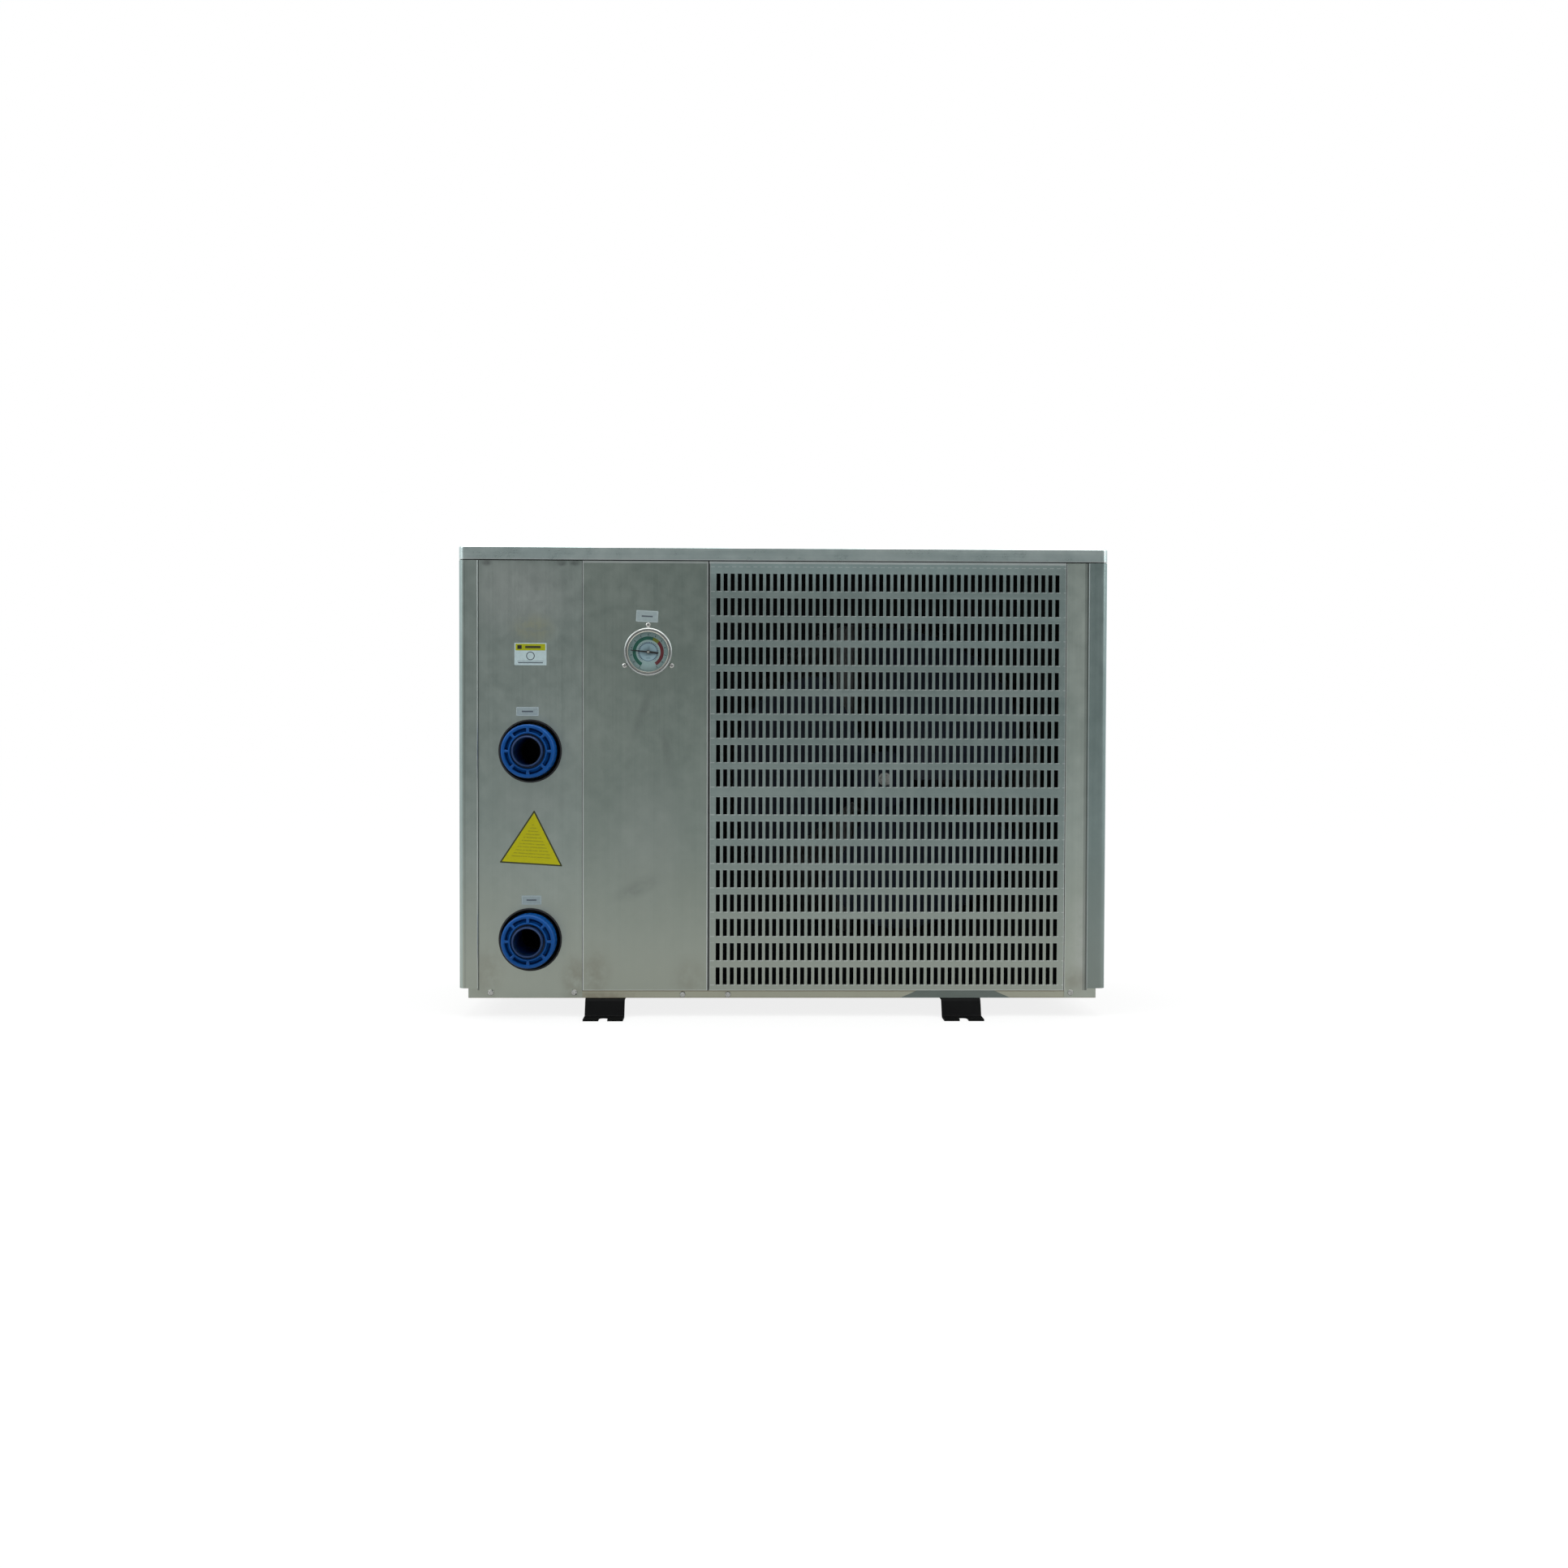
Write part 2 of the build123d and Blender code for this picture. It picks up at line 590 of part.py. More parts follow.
def cover_gasket():
    """Foam strip between the panels' top flanges and the cover's hem."""
    x, y = RIGHT - GASKET_INSET, REAR - GASKET_INSET
    ring = block((-x, -y, PANEL_TOP), (x, y, COVER_BOTTOM))
    x -= GASKET_WIDTH
    y -= GASKET_WIDTH
    return ring - block((-x, -y, PANEL_TOP), (x, y, COVER_BOTTOM))


# ---------------------------------------------------------------- panels
def fixed_panel(x_low, x_high):
    """Flat front panel that laps over the pan lip, with a top flange to bear the gasket."""
    panel = block((x_low, FIXED_FACE, FIXED_BOTTOM), (x_high, PAN_FACE, PANEL_TOP))
    panel += block(
        (x_low, FIXED_FACE, PANEL_TOP - SHEET), (x_high, FIXED_FACE + FLANGE_DEPTH, PANEL_TOP)
    )
    return panel


def connection_panel():
    """Fixed panel at the left, with two round holes for the water unions."""
    panel = fixed_panel(-PAN_RIGHT, CONNECTION_RIGHT)
    panel += block(
        (CONNECTION_RIGHT - SHEET, FIXED_FACE, PAN_TOP + PANEL_LAP),
        (CONNECTION_RIGHT, FIXED_FACE + RETURN_DEPTH, PANEL_TOP),
    )
    for z in (OUTLET_HEIGHT, INLET_HEIGHT):
        panel -= rod_y(UNION_X, z, UNION_HOLE_RADIUS, FIXED_FACE, PAN_FACE)
    for x, z in LAPPED_SCREWS[:2]:
        panel -= screw_hole_y(x, z, FIXED_FACE, SHEET)
    return panel


def right_front_strip():
    """Narrow fixed panel between the grille and the right-hand post."""
    strip = fixed_panel(STRIP_LEFT, PAN_RIGHT)
    for x, z in LAPPED_SCREWS[2:]:
        strip -= screw_hole_y(x, z, FIXED_FACE, SHEET)
    return strip


def door_returns(x_low, x_high):
    """The four folded edges behind a removable front panel."""
    back, face = DOOR_FACE + RETURN_DEPTH, DOOR_FACE + SHEET
    frame = block((x_low, face, DOOR_BOTTOM), (x_high, back, PANEL_TOP))
    return frame - block(
        (x_low + SHEET, face, DOOR_BOTTOM + SHEET), (x_high - SHEET, back, PANEL_TOP - SHEET)
    )


def service_panel():
    """Removable front panel that carries the pressure gauge."""
    x_low, x_high = SERVICE_LEFT, SERVICE_RIGHT
    panel = block((x_low, DOOR_FACE, DOOR_BOTTOM), (x_high, DOOR_FACE + SHEET, PANEL_TOP))
    panel += door_returns(x_low, x_high)
    hole = GAUGE_CASE_RADIUS + GAUGE_FIT
    panel -= rod_y(GAUGE_X, GAUGE_HEIGHT, hole, DOOR_FACE, DOOR_FACE + SHEET)
    for x, z in gauge_screw_places():
        panel -= screw_hole_y(x, z, DOOR_FACE, SHEET)
    return panel


def slot_columns():
    """Left edge of each column of slots, centred in the grille."""
    room = GRILLE_RIGHT - GRILLE_LEFT - 2 * SLOT_MARGIN_X
    count = int((room + SLOT_PITCH - SLOT_WIDTH) / SLOT_PITCH)
    run = (count - 1) * SLOT_PITCH + SLOT_WIDTH
    return [FAN_X - run / 2 + i * SLOT_PITCH for i in range(count)]


def slot_rows():
    """Lower edge of each row of slots, with one wider band under the upper group."""
    rows = []
    z = PANEL_TOP - SLOT_MARGIN_TOP - SLOT_HEIGHT
    while z > DOOR_BOTTOM + SLOT_MARGIN_BOTTOM:
        rows.append(z)
        z -= ROW_PITCH
        if len(rows) == UPPER_ROWS:
            z -= BAND_EXTRA
    return rows


def fan_grille():
    """Removable front panel pierced by rows of upright slots."""
    edge = rectangle_wire(GRILLE_LEFT, GRILLE_RIGHT, DOOR_BOTTOM, PANEL_TOP, DOOR_FACE)
    slots = [
        rectangle_wire(x, x + SLOT_WIDTH, z, z + SLOT_HEIGHT, DOOR_FACE)
        for z in slot_rows()
        for x in slot_columns()
    ]
    plate = extrude(Face(edge, slots), amount=SHEET, dir=(0, 1, 0))
    return plate + door_returns(GRILLE_LEFT, GRILLE_RIGHT)


def left_side_panel():
    """Plain end panel whose edges run behind the corner posts."""
    y = REAR - PAN_INSET
    inner = -PAN_RIGHT
    panel = block((-SIDE_FACE, -y, POST_BOTTOM), (-SIDE_FACE + SHEET, y, PANEL_TOP))
    for z in (POST_BOTTOM, PANEL_TOP - SHEET):
        panel += block((-SIDE_FACE, -y, z), (inner, y, z + SHEET))
    return panel


def rear_panel():
    """Fixed panel behind the compressor bay, with the cable gland holes."""
    panel = rear_side(fixed_panel(-PAN_RIGHT, PARTITION_X - SHEET))
    for x in gland_places():
        hole = GLAND_THREAD_RADIUS + SCREW_HOLE_CLEARANCE
        panel -= rod_y(x, GLAND_HEIGHT, hole, -PAN_FACE, -FIXED_FACE)
    for x, z in REAR_SCREWS:
        panel -= screw_hole_y(x, z, -PAN_FACE, SHEET)
    return panel


def guard(length, z_low, z_high):
    """Welded square-wire guard lying in the XZ plane, its face on y = 0."""
    columns = round((length - GUARD_WIRE) / GUARD_PITCH)
    rows = round((z_high - z_low - GUARD_WIRE) / GUARD_PITCH)
    step_x = (length - GUARD_WIRE) / columns
    step_z = (z_high - z_low - GUARD_WIRE) / rows
    gaps = [
        rectangle_wire(
            i * step_x + GUARD_WIRE,
            (i + 1) * step_x,
            z_low + j * step_z + GUARD_WIRE,
            z_low + (j + 1) * step_z,
            0,
        )
        for i in range(columns)
        for j in range(rows)
    ]
    edge = rectangle_wire(0, length, z_low, z_high, 0)
    return extrude(Face(edge, gaps), amount=GUARD_WIRE, dir=(0, 1, 0))


def rear_coil_guard():
    left = PARTITION_X + SHEET
    return Pos(left, -FIXED_FACE - GUARD_WIRE, 0) * guard(PAN_RIGHT - left, DOOR_BOTTOM, PANEL_TOP)


def side_coil_guard():
    y = REAR - PAN_INSET
    turned = Rot(0, 0, 90) * guard(2 * y, POST_BOTTOM, PANEL_TOP)
    return Pos(SIDE_FACE, -y, 0) * turned


def partition_plate():
    """Upright sheet between the compressor bay and the fan bay, with two pipe holes."""
    inner = -PAN_FACE - PAN_SHEET
    half = PARTITION_SHEET / 2
    plate = block((PARTITION_X - half, -inner, PAN_FLOOR), (PARTITION_X + half, inner, PANEL_TOP))
    for row in TUBE_ROWS:
        hole = rod_x(coil_row_y(row), TUBE_TOP, PIPE_HOLE_RADIUS, PARTITION_X - half, PARTITION_X + half)
        plate -= hole
    return plate


# ---------------------------------------------------------------- air side
def fan_shroud():
    """Plate across the fan bay with a collar round the fan."""
    plate = block(
        (PARTITION_X + BRACKET_SHEET, ORIFICE_FACE, PAN_FLOOR),
        (COIL_RIGHT - COIL_THICKNESS - SHEET, ORIFICE_FACE + SHEET, PANEL_TOP - SHEET),
    )
    plate -= rod_y(FAN_X, FAN_HEIGHT, ORIFICE_RADIUS, ORIFICE_FACE, ORIFICE_FACE + SHEET)
    inner, outer = ORIFICE_RADIUS, ORIFICE_RADIUS + SHEET
    lead, back = ORIFICE_FACE, ORIFICE_FACE + ORIFICE_DEPTH
    collar = [(inner, lead), (outer, lead), (outer, back), (inner, back)]
    return plate + turned_y(FAN_X, FAN_HEIGHT, collar)


def blade_section(share, tip_radius):
    """Radial section through a blade; the share runs from 0 at its front edge to 1."""
    turn = math.radians(BLADE_SPAN * share)
    y = BLADE_FRONT + BLADE_RISE * share
    across = Vector(math.cos(turn), 0, math.sin(turn))
    centre = Vector(FAN_X, y, FAN_HEIGHT)
    lift = Vector(0, BLADE_THICKNESS, 0)
    root = centre + across * (HUB_RADIUS - HUB_WALL)
    tip = centre + across * tip_radius
    return Face(Wire.make_polygon([root, tip, tip + lift, root + lift]))


def fan_blade():
    """Wide blade lofted along a helix, its tip radius eased in at the front edge."""
    sections = []
    for i in range(BLADE_STATIONS):
        share = i / (BLADE_STATIONS - 1)
        ease = math.sin(math.pi / 2 * min(1.0, BLADE_EASE + share))
        sections.append(blade_section(share, FAN_RADIUS * ease))
    return loft(sections)


def fan_rotor():
    """Moulded axial fan: a hub cup with an inner boss, and its blades."""
    back_web = HUB_FRONT + HUB_WALL
    bore = SHAFT_RADIUS + SLIP_CLEARANCE
    outline = [
        (bore, HUB_FRONT),
        (HUB_RADIUS, HUB_FRONT),
        (HUB_RADIUS, HUB_REAR),
        (HUB_RADIUS - HUB_WALL, HUB_REAR),
        (HUB_RADIUS - HUB_WALL, back_web),
        (HUB_BOSS_RADIUS, back_web),
        (HUB_BOSS_RADIUS, HUB_REAR),
        (bore, HUB_REAR),
    ]
    rotor = turned_y(FAN_X, FAN_HEIGHT, outline)
    blade = fan_blade()
    blade -= rod_y(FAN_X, FAN_HEIGHT, HUB_RADIUS - HUB_WALL / 2, BLADE_FRONT, MOTOR_FRONT)
    axis = Axis((FAN_X, 0, FAN_HEIGHT), (0, 1, 0))
    for i in range(FAN_BLADES):
        rotor += blade.rotate(axis, i * 360 / FAN_BLADES)
    return rotor


def motor_shaft():
    """Steel shaft from inside the motor to the thread in front of the hub."""
    neck = HUB_FRONT
    outline = [
        (0, neck - SHAFT_END_LENGTH),
        (SHAFT_END_RADIUS, neck - SHAFT_END_LENGTH),
        (SHAFT_END_RADIUS, neck),
        (SHAFT_RADIUS, neck),
        (SHAFT_RADIUS, MOTOR_FRONT + SHAFT_IN_MOTOR),
        (0, MOTOR_FRONT + SHAFT_IN_MOTOR),
    ]
    return turned_y(FAN_X, FAN_HEIGHT, outline)


def fan_hub_nut():
    """Hexagon nut with its washer, clamping the hub on the shaft."""
    hexagon = Plane.XZ * RegularPolygon(HUB_NUT_FLATS / 2, 6, major_radius=False)
    nut = extrude(hexagon, amount=HUB_NUT_HEIGHT)
    nut = Pos(FAN_X, HUB_FRONT - WASHER_THICKNESS, FAN_HEIGHT) * nut
    nut += rod_y(FAN_X, FAN_HEIGHT, WASHER_RADIUS, HUB_FRONT - WASHER_THICKNESS, HUB_FRONT)
    bore = SHAFT_END_RADIUS + SLIP_CLEARANCE
    return nut - rod_y(FAN_X, FAN_HEIGHT, bore, HUB_FRONT - SHAFT_END_LENGTH, HUB_FRONT)


def fan_motor():
    """Closed motor with a front boss round its shaft and a spigot at the back."""
    bore = SHAFT_RADIUS + RUNNING_CLEARANCE
    outline = [
        (bore, MOTOR_FRONT - MOTOR_BOSS_LENGTH),
        (MOTOR_BOSS_RADIUS, MOTOR_FRONT - MOTOR_BOSS_LENGTH),
        (MOTOR_BOSS_RADIUS, MOTOR_FRONT),
        (MOTOR_RADIUS - MOTOR_CHAMFER, MOTOR_FRONT),
        (MOTOR_RADIUS, MOTOR_FRONT + MOTOR_CHAMFER),
        (MOTOR_RADIUS, MOTOR_REAR),
        (0, MOTOR_REAR),
        (0, MOTOR_FRONT + SHAFT_IN_MOTOR + SHAFT_END_GAP),
        (bore, MOTOR_FRONT + SHAFT_IN_MOTOR + SHAFT_END_GAP),
    ]
    return turned_y(FAN_X, FAN_HEIGHT, outline)


def motor_bracket():
    """Two upright channels and the plate between them that the motor bolts to."""
    face, back = MOTOR_REAR, MOTOR_REAR + RAIL_DEPTH
    bracket = block(
        (FAN_X - RAIL_SPREAD / 2, face, FAN_HEIGHT - MOTOR_RADIUS),
        (FAN_X + RAIL_SPREAD / 2, face + BRACKET_SHEET, FAN_HEIGHT + MOTOR_RADIUS),
    )
    for side in (-1, 1):
        x = FAN_X + side * RAIL_SPREAD / 2
        low, high = x - RAIL_WIDTH / 2, x + RAIL_WIDTH / 2
        channel = block((low, face, PAN_FLOOR), (high, back, PANEL_TOP - SHEET))
        channel -= block(
            (low + BRACKET_SHEET, face + BRACKET_SHEET, PAN_FLOOR),
            (high - BRACKET_SHEET, back, PANEL_TOP - SHEET),
        )
        bracket += channel
    return bracket


def coil_row_y(row):
    return COIL_REAR - row


def coil_row_x(row):
    return COIL_RIGHT - row


def coil_fins():
    """Finned block bent round the rear and the right-hand side of the fan bay."""
    corners = [(COIL_LEFT, COIL_REAR), (COIL_RIGHT, COIL_REAR), (COIL_RIGHT, COIL_FRONT)]
    profile = folded_strip(corners, [COIL_BEND], COIL_THICKNESS, Side.RIGHT)
    return Pos(0, 0, COIL_BOTTOM) * extrude(profile, amount=COIL_TOP - COIL_BOTTOM, dir=(0, 0, 1))


def coil_end_plates():
    """Sheet at each end of the coil, standing on the pan, that holds the tube ends."""
    margin = END_PLATE_MARGIN
    near, far = COIL_REAR - COIL_THICKNESS - margin, COIL_REAR + margin
    rear_end = block((COIL_LEFT - SHEET, near, PAN_FLOOR), (COIL_LEFT, far, COIL_TOP + margin))
    near, far = COIL_RIGHT - COIL_THICKNESS - margin, COIL_RIGHT + margin
    side_end = block((near, COIL_FRONT - SHEET, PAN_FLOOR), (far, COIL_FRONT, COIL_TOP + margin))
    return Compound(children=[rear_end.solid(), side_end.solid()])


def return_bend(centre, half_span, inward):
    """Half-turn of tube that joins two tube ends, half_span each side of the centre."""
    centre = Vector(*centre)
    section = Plane(origin=centre + half_span, z_dir=inward) * Circle(TUBE_RADIUS)
    axis = Axis(centre, half_span.cross(inward))
    bend = revolve(section, axis=axis, revolution_arc=180)
    return bend.solid()


def coil_return_bends():
    """All hairpins outside both end plates; the first tubes are left open for the pipes."""
    up = Vector(0, 0, TUBE_PITCH / 2)
    bends = []
    for row in TUBE_ROWS:
        for i in range(TUBE_COUNT // 2):
            z = TUBE_BOTTOM + (2 * i + 0.5) * TUBE_PITCH
            side = (coil_row_x(row), COIL_FRONT - SHEET, z)
            bends.append(return_bend(side, up, Vector(0, -1, 0)))
            if i < TUBE_COUNT // 2 - 1:
                rear = (COIL_LEFT - SHEET, coil_row_y(row), z + TUBE_PITCH)
                bends.append(return_bend(rear, up, Vector(-1, 0, 0)))
    middle = (coil_row_y(TUBE_ROWS[0]) + coil_row_y(TUBE_ROWS[1])) / 2
    across = Vector(0, (TUBE_ROWS[0] - TUBE_ROWS[1]) / 2, 0)
    crossover = (COIL_LEFT - SHEET, middle, TUBE_BOTTOM)
    bends.append(return_bend(crossover, across, Vector(-1, 0, 0)))
    return Compound(children=bends)


# ---------------------------------------------------------------- water side
def union_bodies():
    """Fixed half of each union: a bored pipe from the vessel with a threaded head."""
    thread_back = UNION_FACE + THREAD_LENGTH
    outline = [
        (PORT_BORE_RADIUS, UNION_FACE),
        (SEAL_IN_RADIUS, UNION_FACE),
        (SEAL_IN_RADIUS, UNION_FACE + SEAL_GROOVE_DEPTH),
        (SEAL_OUT_RADIUS, UNION_FACE + SEAL_GROOVE_DEPTH),
        (SEAL_OUT_RADIUS, UNION_FACE),
        (THREAD_RADIUS, UNION_FACE),
        (THREAD_RADIUS, thread_back),
        (UNION_NECK_RADIUS, thread_back),
        (UNION_NECK_RADIUS, VESSEL_FRONT),
        (PORT_BORE_RADIUS, VESSEL_FRONT),
    ]
    halves = [turned_y(UNION_X, z, outline).solid() for z in (OUTLET_HEIGHT, INLET_HEIGHT)]
    return Compound(children=halves)


def union_seals():
    """The two rings that stand in the grooves of the union bodies."""
    front, back = UNION_FACE - SEAL_HEIGHT, UNION_FACE + SEAL_GROOVE_DEPTH
    outline = [
        (SEAL_IN_RADIUS, front),
        (SEAL_OUT_RADIUS, front),
        (SEAL_OUT_RADIUS, back),
        (SEAL_IN_RADIUS, back),
    ]
    rings = [turned_y(UNION_X, z, outline).solid() for z in (OUTLET_HEIGHT, INLET_HEIGHT)]
    return Compound(children=rings)


def union_tailpiece(z):
    """Loose stub whose collar is drawn on to the seal by the nut."""
    collar_back = COLLAR_FRONT + COLLAR_LENGTH
    outline = [
        (PORT_BORE_RADIUS, TAIL_TIP),
        (TAIL_RADIUS, TAIL_TIP),
        (TAIL_RADIUS, COLLAR_FRONT),
        (COLLAR_RADIUS, COLLAR_FRONT),
        (COLLAR_RADIUS, collar_back),
        (PORT_BORE_RADIUS, collar_back),
    ]
    return turned_y(UNION_X, z, outline)


def nut_pocket(z, start):
    """Blind arc slot in the front of a union nut, starting at an angle in degrees."""
    ring = [
        (POCKET_IN_RADIUS, NUT_FACE),
        (POCKET_OUT_RADIUS, NUT_FACE),
        (POCKET_OUT_RADIUS, NUT_FACE + POCKET_DEPTH),
        (POCKET_IN_RADIUS, NUT_FACE + POCKET_DEPTH),
    ]
    middle = (POCKET_IN_RADIUS + POCKET_OUT_RADIUS) / 2
    rib_turn = math.degrees(POCKET_RIB / middle)
    axis = Axis((UNION_X, 0, z), (0, 1, 0))
    corners = [(UNION_X + radius, y, z) for radius, y in ring]
    face = Face(Wire.make_polygon(corners)).rotate(axis, start + rib_turn / 2)
    return revolve(face, axis=axis, revolution_arc=360 / NUT_POCKETS - rib_turn)


def union_nut(z):
    """Bevelled ring nut with arc pockets round its face and a threaded bore behind."""
    back = NUT_FACE + NUT_LENGTH
    bore = THREAD_RADIUS + THREAD_CLEARANCE
    outline = [
        (NUT_LIP_RADIUS, NUT_FACE),
        (NUT_RADIUS - NUT_EDGE / 2, NUT_FACE),
        (NUT_RADIUS, NUT_FACE + NUT_EDGE),
        (NUT_RADIUS, back),
        (bore, back),
        (bore, COLLAR_FRONT),
        (NUT_LIP_RADIUS, COLLAR_FRONT),
    ]
    nut = turned_y(UNION_X, z, outline)
    for i in range(NUT_POCKETS):
        nut -= nut_pocket(z, i * 360 / NUT_POCKETS)
    return nut


def union_grommets():
    """Rubber edging round each union's hole, gripping both sides of the panel."""
    inner = UNION_HOLE_RADIUS - GROMMET_LIP
    outer = UNION_HOLE_RADIUS + GROMMET_LIP
    front, back = FIXED_FACE - GROMMET_THICKNESS, PAN_FACE + GROMMET_THICKNESS
    outline = [
        (inner, front),
        (UNION_HOLE_RADIUS, front),
        (UNION_HOLE_RADIUS, PAN_FACE),
        (outer, PAN_FACE),
        (outer, back),
        (inner, back),
    ]
    rings = [turned_y(UNION_X, z, outline).solid() for z in (OUTLET_HEIGHT, INLET_HEIGHT)]
    return Compound(children=rings)


def heat_exchanger_shell():
    """Upright water vessel with a bored boss towards each union."""
    top = PAN_FLOOR + VESSEL_HEIGHT
    inner = VESSEL_RADIUS - VESSEL_WALL
    shell = rod_z(UNION_X, VESSEL_Y, VESSEL_RADIUS, PAN_FLOOR, top)
    for z in (OUTLET_HEIGHT, INLET_HEIGHT):
        shell += rod_y(UNION_X, z, VESSEL_BOSS_RADIUS, VESSEL_FRONT, VESSEL_Y)
    shell -= rod_z(UNION_X, VESSEL_Y, inner, PAN_FLOOR + VESSEL_WALL, top)
    for z in (OUTLET_HEIGHT, INLET_HEIGHT):
        shell -= rod_y(UNION_X, z, PORT_BORE_RADIUS, VESSEL_FRONT, VESSEL_Y)
    return shell


def cap_stub_places():
    return [(UNION_X + side * VESSEL_RADIUS / 2, VESSEL_Y) for side in (-1, 1)]


def heat_exchanger_cap():
    """Flanged lid of the vessel, with two stubs for the refrigerant pipes."""
    low = PAN_FLOOR + VESSEL_HEIGHT
    top = low + CAP_HEIGHT
    outline = [
        (0, low),
        (CAP_RADIUS, low),
        (CAP_RADIUS, low + CAP_RIM),
        (CAP_RADIUS - CAP_TAPER, top),
        (0, top),
    ]
    cap = turned_z(UNION_X, VESSEL_Y, outline)
    for x, y in cap_stub_places():
        cap += rod_z(x, y, PIPE_RADIUS + CAP_STUB_WALL, low + CAP_STUB_ROOT, top + CAP_STUB)
    return cap


# ---------------------------------------------------------------- refrigerant circuit
def lug_places():
    places = []
    for angle in LUG_ANGLES:
        across = LUG_CIRCLE_RADIUS * math.cos(math.radians(angle))
        along = LUG_CIRCLE_RADIUS * math.sin(math.radians(angle))
        places.append((COMPRESSOR_X + across, COMPRESSOR_Y + along))
    return places


def compressor():
    """Domed hermetic can on a three-lug foot, with a discharge stub on its top."""
    low, top = COMPRESSOR_BOTTOM, COMPRESSOR_TOP
    outline = [
        (0, low + LUG_THICKNESS),
        (COMPRESSOR_RADIUS - COMPRESSOR_BASE_TAPER, low + LUG_THICKNESS),
        (COMPRESSOR_RADIUS, low + COMPRESSOR_DOME),
        (COMPRESSOR_RADIUS, top - COMPRESSOR_DOME),
        (COMPRESSOR_RADIUS - COMPRESSOR_TOP_TAPER, top),
        (0, top),
    ]
    can = turned_z(COMPRESSOR_X, COMPRESSOR_Y, outline)
    disc = COMPRESSOR_RADIUS - COMPRESSOR_FOOT_INSET
    foot = rod_z(COMPRESSOR_X, COMPRESSOR_Y, disc, low, low + LUG_THICKNESS)
    for x, y in lug_places():
        arm = Vector(x - COMPRESSOR_X, y - COMPRESSOR_Y, 0)
        bar = Box(arm.length, 2 * LUG_RADIUS, LUG_THICKNESS)
        turn = math.degrees(math.atan2(arm.Y, arm.X))
        middle = Pos(COMPRESSOR_X, COMPRESSOR_Y, low + LUG_THICKNESS / 2) * Rot(0, 0, turn)
        foot += middle * Pos(arm.length / 2, 0, 0) * bar
        foot += rod_z(x, y, LUG_RADIUS, low, low + LUG_THICKNESS)
    for x, y in lug_places():
        hole = MOUNT_NECK_RADIUS + SCREW_HOLE_CLEARANCE
        foot -= rod_z(x, y, hole, low, low + LUG_THICKNESS)
    stub = rod_z(DISCHARGE_X, PIPE_Y, STUB_RADIUS, top - STUB_ROOT, top + STUB_LENGTH)
    return can + foot + stub


def compressor_mounts():
    """Rubber spools that carry the compressor's lugs on the pan."""
    low, lug = PAN_FLOOR, COMPRESSOR_BOTTOM
    seat, head = lug + LUG_THICKNESS, LUG_RADIUS - MOUNT_HEAD_STEP
    outline = [
        (0, low),
        (LUG_RADIUS, low),
        (LUG_RADIUS - MOUNT_TAPER, lug),
        (MOUNT_NECK_RADIUS, lug),
        (MOUNT_NECK_RADIUS, seat),
        (head, seat),
        (head - MOUNT_HEAD_TAPER, seat + MOUNT_HEAD_HEIGHT),
        (0, seat + MOUNT_HEAD_HEIGHT),
    ]
    return Compound(children=[turned_z(x, y, outline).solid() for x, y in lug_places()])


def terminal_cover():
    """Plastic cover over the compressor's terminals."""
    width, depth, height = TERMINAL_COVER_SIZE
    x, y = COMPRESSOR_X - TERMINAL_COVER_LEFT, COMPRESSOR_Y - TERMINAL_COVER_FORWARD
    cover = Pos(x, y, COMPRESSOR_TOP + height / 2) * Box(width, depth, height)
    return fillet(cover.faces().sort_by(Axis.Z)[-1].edges(), TERMINAL_COVER_ROUNDING)


def accumulator():
    """Suction accumulator with a strap bracket towards the compressor."""
    low, top = ACCUMULATOR_BOTTOM, ACCUMULATOR_TOP
    neck = PIPE_RADIUS + ACCUMULATOR_NECK_WALL
    outline = [
        (0, low),
        (neck, low),
        (ACCUMULATOR_RADIUS, low + ACCUMULATOR_DOME),
        (ACCUMULATOR_RADIUS, top - ACCUMULATOR_DOME),
        (neck, top),
        (neck, top + STUB_LENGTH),
        (0, top + STUB_LENGTH),
    ]
    body = turned_z(ACCUMULATOR_X, PIPE_Y, outline)
    left = COMPRESSOR_X + COMPRESSOR_RADIUS + STRAP_CLEARANCE
    right = ACCUMULATOR_X - ACCUMULATOR_RADIUS + STRAP_LAP
    foot = low + STRAP_LIFT
    strap = block(
        (left, PIPE_Y - STRAP_WIDTH / 2, foot), (right, PIPE_Y + STRAP_WIDTH / 2, foot + STRAP_HEIGHT)
    )
    return body + strap


def reversing_valve():
    """Four-way valve: a lying cylinder with one stub above and three below."""
    half = VALVE_LENGTH / 2
    body = rod_x(PIPE_Y, VALVE_HEIGHT, VALVE_RADIUS, VALVE_X - half, VALVE_X + half)
    body += rod_z(VALVE_X, PIPE_Y, STUB_RADIUS, VALVE_HEIGHT, VALVE_STUB_TOP)
    for i in (-1, 0, 1):
        x = VALVE_X + i * VALVE_STUB_SPREAD
        body += rod_z(x, PIPE_Y, STUB_RADIUS, VALVE_STUB_BOTTOM, VALVE_HEIGHT)
    front = PIPE_Y - VALVE_RADIUS
    half = PILOT_LENGTH / 2
    pilot = rod_x(front - PILOT_SETOUT, VALVE_HEIGHT, PILOT_RADIUS, VALVE_X - half, VALVE_X + half)
    across, up = SADDLE_WIDTH / 2, SADDLE_HEIGHT / 2
    saddle = block(
        (VALVE_X - across, front - SADDLE_REACH, VALVE_HEIGHT - up),
        (VALVE_X + across, PIPE_Y, VALVE_HEIGHT + up),
    )
    return body + saddle + pilot


